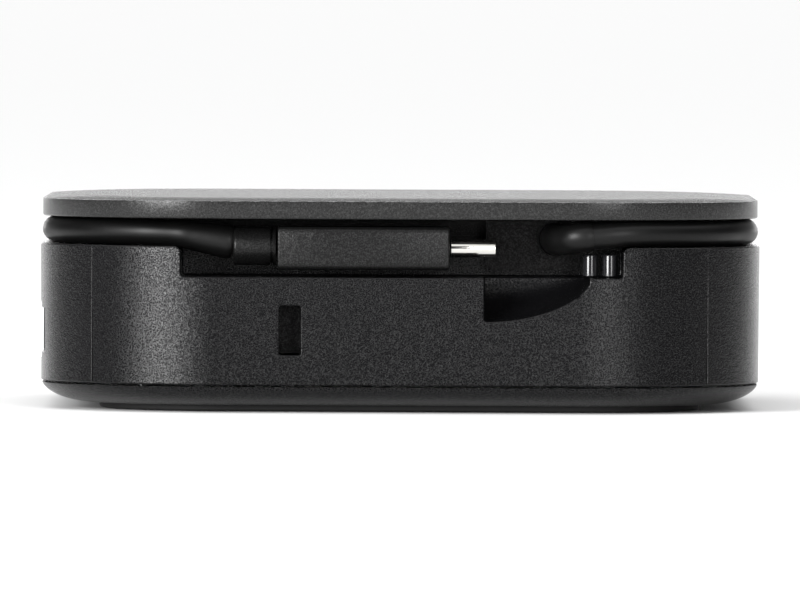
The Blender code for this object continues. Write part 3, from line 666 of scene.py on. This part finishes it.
def make_housing():
    """The outer block, hollowed from below, with its tubs added and the front cuts made."""
    body = block("housing_shell", (-HALF, -HALF, house_low.z), (HALF, HALF, DECK))
    bevel(body, along(2), CORNER, WALL_STEPS)
    pick(body, "faces", facing(2, -1))
    lean = (HALF - DRAFT) / HALF
    bpy.ops.transform.resize(value=(lean, lean, 1), center_override=(0, 0, 0))
    bpy.ops.mesh.inset(thickness=WALL * MM)
    rise = (DECK_UNDER - house_low.z) * MM
    bpy.ops.mesh.extrude_region_move(TRANSFORM_OT_translate={"value": (0, 0, rise)})
    bpy.ops.object.mode_set(mode="OBJECT")
    carve(body, tubs(), "UNION")
    lock = block("slot_tool", (SLOT_LEFT, FRONT - 2, SLOT_LOW), (SLOT_RIGHT, FRONT + 3.2, SLOT_HIGH))
    bevel(lock, along(1), SLOT_RADIUS, 3)
    band = block("band_tool", (-HALF - 1, -BAND_REACH, BAND_LOW), (-HALF + BAND_DEPTH, BAND_REACH, BAND_HIGH))
    carve(body, [pocket_tool()] + corner_tools() + [scoop_tool(), lock, band])
    return body


housing = make_housing()
print("housing faces before windows:", len(housing.data.polygons))

# %% Housing: port windows, edges and finish
PLAY = 0.2                  # room round a port in its window
WINDOW_DEPTH = 4.2          # a window's tool reaches this far in, past the wall


def window(node, axis, side):
    """A hole in the wall round a port, a little larger than the port."""
    low, high = span(node)
    low, high = low - Vector((PLAY, PLAY, PLAY)), high + Vector((PLAY, PLAY, PLAY))
    low[axis], high[axis] = sorted((side * (HALF - WINDOW_DEPTH), side * (HALF + 1)))
    return block(node + "_window", low, high)


windows = [window(f"usb_a_port_{i}", 0, -1) for i in (1, 2)]
windows += [window("hdmi_port", 0, -1), window("usb_c_port", 0, 1)]
windows += [window("vga_port", 1, 1), window("ethernet_port", 1, 1)]
carve(housing, windows)
soften(housing, EDGE_ROUND)
true_wall_normals(housing, HALF, CORNER)
housing.data.materials.append(case_plastic)
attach(housing, "dock")
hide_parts("main_housing")
print("housing faces:", len(housing.data.polygons))

# %% [markdown]
# ## Parting lines and the dark sheet behind the lock slot
# The sides of the mould slide away from the wall and meet at its corners, where a hair of plastic creeps
# into the joint. A scratch in the shading would fade from most sides, so each line is a real thread of
# plastic, sunk in the wall for most of its width. Through the lock slot one sees a dark sheet in the darker
# inner plastic, painted shade that keeps the slot black.

# %% Parting lines and the dark sheet
THREAD_RADIUS = 0.08
THREAD_SUNK = 0.05          # how deep the thread's centre lies under the wall's face
SHADE_SHEET_LOW, SHADE_SHEET_HIGH = (-20.3, -47.1, 8.3), (-10.5, -46.5, 17.3)


def parting_thread(corner_x, corner_y):
    """Hair-thin upright ridge where two sides of the mould met, at the middle of a round corner."""
    reach = (HALF - CORNER) + (CORNER - THREAD_SUNK) * math.sqrt(0.5)
    x, y = corner_x * reach, corner_y * reach
    return rod("parting_line", THREAD_RADIUS, (x, y, house_low.z + 0.2), (x, y, DECK - 0.2), 8)


for i, (side_x, side_y) in enumerate(((-1, -1), (1, -1), (1, 1), (-1, 1)), 1):
    thread = parting_thread(side_x, side_y)
    thread.name = f"parting_line_{i}"
    thread.data.materials.append(case_plastic)
    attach(thread, "dock")

# A dark sheet just behind the lock slot, in the darker inner plastic: painted shade, so the slot reads black.
shade_sheet = block("slot_painted_shade_sheet", SHADE_SHEET_LOW, SHADE_SHEET_HIGH)
bevel(shade_sheet, along(2), 0.2, 2)
shade_sheet.data.materials.append(shade_dark_inner_plastic)
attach(shade_sheet, "dock")
print("parting lines: 4, standing proud by", round(THREAD_RADIUS - THREAD_SUNK, 2), "mm")

# %% [markdown]
# ## Bottom cover and foot pad
# The cover closes the box from below. Its lower edge is a quarter ellipse, 7.6 mm wide and 3.4 mm high, and
# the pad sits in a shallow recess. Insets with a drop make such an edge ring by ring and keep every ring
# parallel to the outline, which scaling would not.

# %% Bottom cover
EDGE_TOP, EDGE_WIDTH, UNDERSIDE = 4.2, 7.6, 0.8
EDGE_RINGS = 14
SEAM = 0.3                  # gap between the housing and the cover, and round the pad
RECESS = 0.7                # depth of the recess that the pad sits in


def edge_inset(z):
    """How far the rounded lower edge has moved in at height z."""
    drop = (EDGE_TOP - z) / (EDGE_TOP - UNDERSIDE)
    return 0.1 + (EDGE_WIDTH - 0.1) * (1 - math.sqrt(max(0.0, 1 - min(1.0, drop) ** 2)))


def make_cover():
    """A thin plate under the seam, drawn down ring by ring along the quarter ellipse."""
    top = house_low.z - SEAM
    first = edge_inset(top)
    half = HALF - first
    cover = block("cover_shell", (-half, -half, top - 0.02), (half, half, top))
    bevel(cover, along(2), CORNER - first, 32)
    pick(cover, "faces", facing(2, -1))
    first_turn = math.asin((EDGE_TOP - top) / (EDGE_TOP - UNDERSIDE))
    inset_now, z_now = first, top - 0.02
    for step in range(1, EDGE_RINGS + 1):
        turn = first_turn + (math.radians(90) - first_turn) * step / EDGE_RINGS
        z = EDGE_TOP - (EDGE_TOP - UNDERSIDE) * math.sin(turn)
        bpy.ops.mesh.inset(thickness=(edge_inset(z) - inset_now) * MM, depth=(z_now - z) * MM)
        inset_now, z_now = edge_inset(z), z
    bpy.ops.mesh.inset(thickness=(HALF - pad_high.x - SEAM - inset_now) * MM)
    bpy.ops.mesh.extrude_region_move(TRANSFORM_OT_translate={"value": (0, 0, RECESS * MM)})
    bpy.ops.object.mode_set(mode="OBJECT")
    smooth(cover, 40)
    cover.data.materials.append(case_plastic)
    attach(cover, "dock")
    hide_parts("bottom_cover")
    return cover


cover = make_cover()
print("cover faces:", len(cover.data.polygons))


# %% Foot pad
PAD_CORNER = 17.4


def make_pad():
    """A sheet of rubber with round corners and a soft lower edge."""
    pad = block("foot_pad_sheet", (pad_low.x, pad_low.y, 0), (pad_high.x, pad_high.y, pad_high.z))
    bevel(pad, along(2), PAD_CORNER, 24)
    bevel(pad, rim(2, 0.0), 0.3, 3)
    smooth(pad, 50)
    pad.data.materials.append(rubber)
    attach(pad, "dock")
    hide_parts("foot_pad")
    return pad


pad = make_pad()
print("pad faces:", len(pad.data.polygons))

# %% [markdown]
# ## The lead
# The lead is 3.6 mm thick. It leaves the box through a moulded boot, turns right into the groove, runs once
# round under the lid, and turns into the pocket, where it ends in the plug's tapered neck. A curve with a
# round bevel is the simplest tube. The last few centimetres are a piece of their own, because only they
# bend when the plug is lifted out.

# %% Route of the lead
CABLE = 1.8                 # radius of the lead
CABLE_INSET = 2.05          # its centre line from the outer edge
CABLE_Z = 25.22
BEND = CORNER - CABLE_INSET
BOOT = 2.2                  # radius of the boot
BOOT_X, BOOT_Z, BOOT_LENGTH = 21.9, 24.35, 14.5
ROOT_BEND, LAST_BEND = 6.0, 20.0
BLOCK_DEPTH = 11.5          # from the front to the block that the boot comes out of
SPACING = 0.4               # mm between the points of the route
PIVOT = Vector(frame["joints"][0]["pos_m"]) / MM
sleeve_low, sleeve_high = span("plug_sleeve")
PLUG_Z = (sleeve_low.z + sleeve_high.z) / 2


def route_knots():
    """Knots of the whole route, from the boot's root to the pivot."""
    reach = FRONT + CABLE_INSET + 0.25 + ROOT_BEND
    knots = [(BOOT_X, FRONT + BLOCK_DEPTH + 2.0, BOOT_Z), (BOOT_X, reach + 1.0, BOOT_Z)]
    for degrees in (20, 45, 70):
        turn = math.radians(degrees)
        rise = (CABLE_Z - BOOT_Z) * (degrees / 90) ** 3
        x, y = BOOT_X + ROOT_BEND * (1 - math.cos(turn)), reach - ROOT_BEND * math.sin(turn)
        knots.append((x, y, BOOT_Z + rise))
    straight = HALF - CORNER
    line = HALF - CABLE_INSET
    turns = ((-70, -45, -22, 0), (0, 22, 45, 68, 90), (90, 112, 135, 158, 180))
    centres = ((straight, -straight), (straight, straight), (-straight, straight))
    for (x, y), angles, side in zip(centres, turns, ((line, 0), (0, line), (-line, 0))):
        for degrees in angles:
            turn = math.radians(degrees)
            knots.append((x + BEND * math.cos(turn), y + BEND * math.sin(turn), CABLE_Z))
        knots.append((*side, CABLE_Z))
    x, y = -line + LAST_BEND, PIVOT.y + LAST_BEND
    for degrees, sag in ((0, 0.0), (22, 0.0), (45, 0.02), (68, 0.1), (84, 0.3)):
        turn = math.radians(180 + degrees)
        knots.append((x + LAST_BEND * math.cos(turn), y + LAST_BEND * math.sin(turn), CABLE_Z - sag))
    return knots


def smooth_route(knots, per_span=12):
    """Catmull-Rom curve through the knots."""
    knots = [Vector(k) for k in knots]
    ends = [2 * knots[0] - knots[1]] + knots + [2 * knots[-1] - knots[-2]]
    route = []
    for a, b, c, d in zip(ends, ends[1:], ends[2:], ends[3:]):
        for step in range(per_span):
            t = step / per_span
            route.append(0.5 * (2 * b + (c - a) * t + (2 * a - 5 * b + 4 * c - d) * t * t
                                + (3 * b - a - 3 * c + d) * t ** 3))
    return route + [knots[-1]]


def trace(route, spacing):
    """Evenly spaced points along a dense route."""
    lengths = [0.0]
    for a, b in zip(route, route[1:]):
        lengths.append(lengths[-1] + (b - a).length)
    count = max(2, round(lengths[-1] / spacing))
    points, index = [], 0
    for step in range(count + 1):
        target = lengths[-1] * step / count
        while index < len(lengths) - 2 and lengths[index + 1] < target:
            index += 1
        gap = lengths[index + 1] - lengths[index]
        share = (target - lengths[index]) / gap if gap else 0
        points.append(route[index].lerp(route[index + 1], min(1, share)))
    return points


neck_end = Vector((sleeve_low.x + 0.1, PIVOT.y, PLUG_Z + 0.6))
tail = [tuple(PIVOT + Vector((0, 0, -0.2))), (-26.6, PIVOT.y, 24.25), tuple(neck_end)]
whole = trace(smooth_route(route_knots() + tail), SPACING)
print("route in mm:", round(sum((b - a).length for a, b in zip(whole, whole[1:])), 1), "points:", len(whole))


# %% Tubes
def tube(name, points, radius, skin, spacing=1.6, widths=None, sides=8):
    """A round tube along points in millimetres, made as a curve and turned into a mesh."""
    clear_selection()
    curve = bpy.data.curves.new(name, "CURVE")
    curve.dimensions, curve.bevel_depth, curve.bevel_resolution = "3D", radius * MM, sides
    curve.use_fill_caps = True
    spots = trace(points, spacing)
    line = curve.splines.new("POLY")
    line.points.add(len(spots) - 1)
    line.use_smooth = True
    for i, (knot, spot) in enumerate(zip(line.points, spots)):
        knot.co = (*(spot * MM), 1)
        if widths:
            knot.radius = widths(i / (len(spots) - 1)) / radius
    thing = bpy.data.objects.new(name, curve)
    bpy.context.scene.collection.objects.link(thing)
    bpy.context.view_layer.objects.active = thing
    thing.select_set(True)
    bpy.ops.object.convert(target="MESH")
    thing = bpy.context.object
    smooth(thing, 50)
    thing.data.materials.append(skin)
    return thing, spots


# %% [markdown]
# ## Boot, wound lead and flexing end
# The boot is a tapered sleeve moulded over the root, with a flange that holds it behind the wall of the
# block. The wound lead starts inside the boot's mouth, so no gap shows there. The flexing end starts just
# inside the wound lead and is a hair thinner, so the two surfaces never lie in one another.

# %% Boot
FLANGE = 3.3                # radius of the boot's flange
start = round(BOOT_LENGTH / SPACING)


def boot_width(share):
    """The boot tapers a little to its mouth and its rim is rounded."""
    edge = max(0.0, (share - 0.93) / 0.07)
    return BOOT - 0.12 * share - 0.22 * edge ** 2


boot, _ = tube("cable_boot_moulding", whole[:start], BOOT, boot_rubber, 0.5, boot_width, 12)
root = whole[0]
flange = rod("boot_flange", FLANGE, (root.x, root.y - 0.1, root.z), (root.x, root.y + 0.7, root.z), 40)
carve(boot, [flange], "UNION")
smooth(boot, 50)
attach(boot, "dock")
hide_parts("cable_boot")
print("boot faces:", len(boot.data.polygons))

# %% Wound lead and flexing end
FLEX_START = (-41.0, -35.0) # x and y past which the lead, on its last bend, is the flexing end
HAIR = 0.008                # how much thinner it is than the wound lead
halfway = len(whole) // 2
split = next(i for i, p in enumerate(whole) if i > halfway and p.x > FLEX_START[0] and p.y < FLEX_START[1])
wound, wound_path = tube("lead_wound", whole[start - 3:split + 1], CABLE, jacket, 1.5, None, 10)
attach(wound, "dock")
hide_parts("cable_wrap")


def neck_width(share):
    """Plain lead at first, then the flare of the strain relief, with a rounded end."""
    flare = max(0.0, (share - 0.45) / 0.55)
    swell = flare * flare * (3 - 2 * flare)
    close = max(0.0, (share - 0.965) / 0.035)
    return CABLE - HAIR + 0.6 * swell - 0.35 * close ** 2


flex, flex_path = tube("lead_flexing_end", whole[split - 2:], CABLE - HAIR, jacket, 0.45, neck_width, 10)
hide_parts("cable_free_end", "plug_neck")
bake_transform(flex)
print("wound lead:", len(wound_path), "rings, flexing end:", len(flex_path), "rings")

# %% [markdown]
# ## Plug
# A USB-C plug is a drawn steel shell on a flat overmoulded grip. Behind the grip a round sleeve holds the
# neck. The grip is a box with all its edges rounded, and the sleeve is a cylinder with a groove turned in it.

# %% Grip and sleeve
grip_low, grip_high = span("plug_overmould")
grip = block("plug_grip", grip_low, grip_high)
bevel(grip, along(0), 0.9, 5)
bevel(grip, lambda edge: abs(edge.verts[0].co.x - edge.verts[1].co.x) < 1e-7, 0.25, 3)
smooth(grip, 50)
grip.data.materials.append(plug_plastic)
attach(grip, "plug")
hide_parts("plug_overmould")

SLEEVE_RISE = 0.2           # the sleeve sits this much above the grip's middle
GROOVE_DEPTH, GROOVE_START, GROOVE_END = 0.3, 0.75, 0.35    # the last two from the sleeve's right end


def make_sleeve():
    """The round sleeve behind the grip, with a groove turned near its right end."""
    radius = (sleeve_high.z - sleeve_low.z) / 2
    end = sleeve_high.x

    def turned(name, size, left, right):
        """A cylinder on the sleeve's own axis, from one x to another."""
        axis_y, axis_z = PIVOT.y, PLUG_Z + SLEEVE_RISE
        return rod(name, size, (left, axis_y, axis_z), (right, axis_y, axis_z), 64)

    sleeve = turned("plug_sleeve_ring", radius, sleeve_low.x, end)
    bevel(sleeve, rim(0, sleeve_low.x), 0.45, 4)
    groove = turned("groove_tool", radius + 1, end - GROOVE_START, end - GROOVE_END)
    core = turned("groove_core", radius - GROOVE_DEPTH, end - 1.5, end + 1)
    carve(groove, [core])
    carve(sleeve, [groove])
    smooth(sleeve, 40)
    sleeve.data.materials.append(plug_plastic)
    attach(sleeve, "plug")
    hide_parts("plug_sleeve")
    return sleeve


sleeve = make_sleeve()
print("grip faces:", len(grip.data.polygons), "sleeve faces:", len(sleeve.data.polygons))

# %% Plug shell, tongue and contacts
shell_low, shell_high = span("plug_shell")
SHEET = 0.27                # thickness of the drawn steel
MOUTH_DEPTH = 5.6


def make_plug_shell():
    """A flat tube with fully round sides, open to the right, its lip slightly rounded."""
    shell = block("plug_shell_drawn", shell_low, shell_high)
    bevel(shell, along(0), (shell_high.z - shell_low.z) / 2 - 0.01, 10)
    pick(shell, "faces", facing(0, 1))
    bpy.ops.mesh.inset(thickness=SHEET * MM)
    bpy.ops.mesh.extrude_region_move(TRANSFORM_OT_translate={"value": (-MOUTH_DEPTH * MM, 0, 0)})
    bpy.ops.object.mode_set(mode="OBJECT")
    bevel(shell, rim(0, shell_high.x), 0.09, 2)
    smooth(shell, 40)
    shell.data.materials.append(nickel)
    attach(shell, "plug")
    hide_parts("plug_shell")
    return shell


plug_shell = make_plug_shell()
tongue_low, tongue_high = span("plug_tongue")
tongue = block("plug_contact_tongue", tongue_low, tongue_high)
bevel(tongue, along(0), 0.2, 2)
room = block("tongue_slot", tongue_low + Vector((0.8, 0.5, 0.28)), tongue_high - Vector((-1, 0.5, 0.28)))
carve(tongue, [room])
tongue.data.materials.append(contact_block)
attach(tongue, "plug")
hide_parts("plug_tongue")
print("plug shell faces:", len(plug_shell.data.polygons), "tongue faces:", len(tongue.data.polygons))

# %% [markdown]

# %% [markdown]
# ## Guide pins
# Two polished acetal pegs stand at the pocket's right end and keep the lead up on its deck. Polish is all
# that tells them from the wall: each shows one sharp upright gleam. They are plain cylinders with a soft top.

# %% Guide pins
for i in (1, 2):
    low, high = span(f"guide_pin_{i}")
    centre = (low + high) / 2
    pin = rod(f"guide_pin_{i}_polished", (high.x - low.x) / 2, (centre.x, centre.y, low.z),
              (centre.x, centre.y, high.z), 40)
    bevel(pin, rim(2, high.z), 0.2, 3)
    smooth(pin, 50)
    pin.data.materials.append(acetal)
    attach(pin, "dock")
    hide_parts(f"guide_pin_{i}")
    print(pin.name, "height in mm:", round(high.z - low.z, 1))

# %% [markdown]
# ## Inside the ports
# A bare metal mouth doesn't read as a socket. What one sees first are the springs and the gold contacts, so
# each is modelled once at its real size and copied along its row. A USB-A port has four contacts under its
# tongue and four springs in its shell. The digital video port has nineteen contacts, the USB-C port twelve
# on a side, the network jack eight slanting wires.


# %% Tools: copies and joining
def copies(thing, shifts):
    """The piece and a copy of it, with its own mesh, for every further shift in millimetres."""
    made = [thing]
    for shift in shifts:
        twin = thing.copy()
        twin.data = thing.data.copy()
        bpy.context.scene.collection.objects.link(twin)
        for vert in twin.data.vertices:
            vert.co += Vector(shift) * MM
        made.append(twin)
    return made


def join(name, parts):
    """Join parts into one object."""
    clear_selection()
    for part in parts:
        part.select_set(True)
    bpy.context.view_layer.objects.active = parts[0]
    bpy.ops.object.join()
    piece = bpy.context.object
    piece.name = piece.data.name = name
    return piece


def port_metalwork(name, parts, skin):
    """Join parts into one metal piece of a port, fixed to the dock."""
    piece = join(name, parts)
    piece.data.materials.append(skin)
    smooth(piece, 40)
    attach(piece, "dock")
    return piece


# %% Contacts and springs of the side ports
def contact_row(name, tongue, count, pitch, width, face, length):
    """Thin gold strips along a tongue's upper (1) or lower (-1) face, running to its tip."""
    low, high = span(tongue)
    side = -1 if low.x < 0 else 1
    tip = low.x if side < 0 else high.x
    y = (low.y + high.y) / 2 - pitch * (count - 1) / 2
    z = high.z if face > 0 else low.z
    x_ends = sorted((tip - side * 0.5, tip - side * (0.5 + length)))
    strip = block(name, (x_ends[0], y - width / 2, z - 0.05), (x_ends[1], y + width / 2, z + 0.05))
    bevel(strip, along(1), 0.03, 1)
    shifts = [(0, pitch * i, 0) for i in range(1, count)]
    return port_metalwork(name, copies(strip, shifts), gold)


TAB_START, TAB_END, TAB_HALF_WIDTH, TAB_HALF_SHEET = 1.4, 6.2, 0.9, 0.08
TAB_APART = 3.2             # a tab's middle from the port's middle
TAB_CLEAR = 0.42            # a tab's root from the port's outside
TAB_LEAN = 5                # degrees


def shell_springs(name, port):
    """Two spring tabs in the floor of a USB-A shell and two in its ceiling."""
    low, high = span(port)
    middle = (low.y + high.y) / 2
    root, tip = low.x + TAB_START, low.x + TAB_END
    tabs = []
    for z, lean in ((low.z + TAB_CLEAR, TAB_LEAN), (high.z - TAB_CLEAR, -TAB_LEAN)):
        for y in (middle - TAB_APART, middle + TAB_APART):
            tab = block("spring_tab", (root, y - TAB_HALF_WIDTH, z - TAB_HALF_SHEET),
                        (tip, y + TAB_HALF_WIDTH, z + TAB_HALF_SHEET))
            pick(tab, "faces", lambda face: True)
            bpy.ops.transform.rotate(value=math.radians(lean), orient_axis="Y",
                                     center_override=Vector((root, y, z)) * MM)
            bpy.ops.object.mode_set(mode="OBJECT")
            bevel(tab, along(2), 0.3, 2)
            tabs.append(tab)
    return port_metalwork(name, tabs, nickel)


for i in (1, 2):
    contact_row(f"usb_a_contacts_{i}", f"usb_a_tongue_{i}", 4, 2.3, 1.0, -1, 7.0)
    shell_springs(f"usb_a_springs_{i}", f"usb_a_port_{i}")
contact_row("hdmi_contacts", "hdmi_tongue", 10, 1.0, 0.4, 1, 6.0)
contact_row("hdmi_contacts_low", "hdmi_tongue", 9, 1.0, 0.4, -1, 6.0)
contact_row("usb_c_contacts", "usb_c_tongue", 12, 0.5, 0.26, 1, 3.6)
contact_row("usb_c_contacts_low", "usb_c_tongue", 12, 0.5, 0.26, -1, 3.6)
print("contacts in the side ports:", 2 * 4 + 10 + 9 + 2 * 12)

# %% Network jack wires
WIRES, WIRE_PITCH, WIRE_RADIUS = 8, 1.02, 0.2
WIRE_MOUTH, WIRE_ROOT = (49.0, 19.45), (41.5, 16.6)     # y and z of a wire's two ends

jack_low, jack_high = span("ethernet_port")
first_x = (jack_low.x + jack_high.x) / 2 - WIRE_PITCH * (WIRES - 1) / 2
first_wire = rod("jack_wire", WIRE_RADIUS, (first_x, *WIRE_MOUTH), (first_x, *WIRE_ROOT), 10)
port_metalwork("ethernet_wires", copies(first_wire, [(WIRE_PITCH * i, 0, 0) for i in range(1, WIRES)]), gold)
print("jack wires:", WIRES)

# %% VGA insert and its sockets
SOCKET_PITCH, SOCKET_ROWS = 2.29, 1.98
SOCKET_SHIFT = 1.15         # the middle row is set over by half a pitch
ROW_CENTRING = 0.57         # brings the three rows together to the middle of the block
SOCKET_RADIUS, SOCKET_DEPTH = 0.5, 3.0
TAPER = 2.1                 # how much narrower the D is below


def make_vga_insert():
    """Blue D-shaped block with three rows of five round sockets."""
    low, high = span("vga_insert")
    middle = (low + high) / 2
    insert = block("vga_insert_moulded", low, high)
    pick(insert, "verts", lambda vert: vert.co.z < middle.z * MM)
    narrow = (high.x - low.x - TAPER) / (high.x - low.x)
    bpy.ops.transform.resize(value=(narrow, 1, 1), center_override=middle * MM)
    bpy.ops.object.mode_set(mode="OBJECT")
    bevel(insert, along(1), 0.8, 4)
    sockets = []
    for row, shift in ((-1, 0.0), (0, SOCKET_SHIFT), (1, 0.0)):
        for column in range(-2, 3):
            x = middle.x + SOCKET_PITCH * column + shift - ROW_CENTRING
            z = middle.z + SOCKET_ROWS * row
            ends = (x, high.y - SOCKET_DEPTH, z), (x, high.y + 1, z)
            sockets.append(rod("socket", SOCKET_RADIUS, *ends, 16))
    carve(insert, [join("vga_sockets", sockets)])
    smooth(insert, 40)
    insert.data.materials.clear()
    insert.data.materials.append(blue_block)
    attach(insert, "dock")
    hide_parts("vga_insert")
    return insert


vga = make_vga_insert()
print("VGA insert faces:", len(vga.data.polygons))

# %% Jackscrews
THREAD_BORE = 1.15          # radius of the tapped hole

for i in (1, 2):
    low, high = span(f"vga_jack_{i}")
    centre = (low + high) / 2
    nut = rod(f"vga_jackscrew_{i}", (high.x - low.x) / 2, (centre.x, low.y, centre.z),
              (centre.x, high.y, centre.z), 6)
    bevel(nut, rim(1, high.y), 0.35, 2)
    bore = rod("thread", THREAD_BORE, (centre.x, high.y - 3, centre.z), (centre.x, high.y + 1, centre.z), 24)
    carve(nut, [bore])
    smooth(nut, 30)
    nut.data.materials.append(nickel)
    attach(nut, "dock")
    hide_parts(f"vga_jack_{i}")
    print(nut.name, "faces:", len(nut.data.polygons))

# %% [markdown]
# ## Finishes for the solids that stay
# The pieces inside the box are plain shapes on the real thing too, so their solids stay and only take a
# proper finish.

# %% Finishes for kept solids
# The cable spool, seen at the pocket's back, takes the darker inner plastic: painted shade.
finishes = {
    # The lock plate takes the darkened steel: painted shade for the slot.
    "cable_spool": shade_dark_inner_plastic, "lock_plate": shade_dark_steel, "main_board": board_lacquer,
    "inner_lead": jacket, "lead_header": contact_block, "heat_spreader": alloy,
    "thermal_pad": silicone, "crystal": zinc,
    "hub_chip": chip_epoxy, "video_chip": chip_epoxy, "ethernet_chip": chip_epoxy, "power_chip": chip_epoxy,
    "inductor_1": chip_epoxy, "inductor_2": chip_epoxy,
}
for i in (1, 2, 3):
    finishes[f"capacitor_{i}"] = alloy
for i in (1, 2, 3, 4):
    finishes[f"cover_screw_{i}"] = finishes[f"spool_screw_{i}"] = zinc
for name in ("usb_a_port_1", "usb_a_port_2", "hdmi_port", "vga_port", "ethernet_port", "usb_c_port"):
    finishes[name] = nickel
for name in ("usb_a_tongue_1", "usb_a_tongue_2", "hdmi_tongue", "usb_c_tongue"):
    finishes[name] = contact_block
for name, skin in finishes.items():
    for slot in frame["nodes"][name].material_slots:
        slot.material = skin
print("solids with a new finish:", len(finishes))
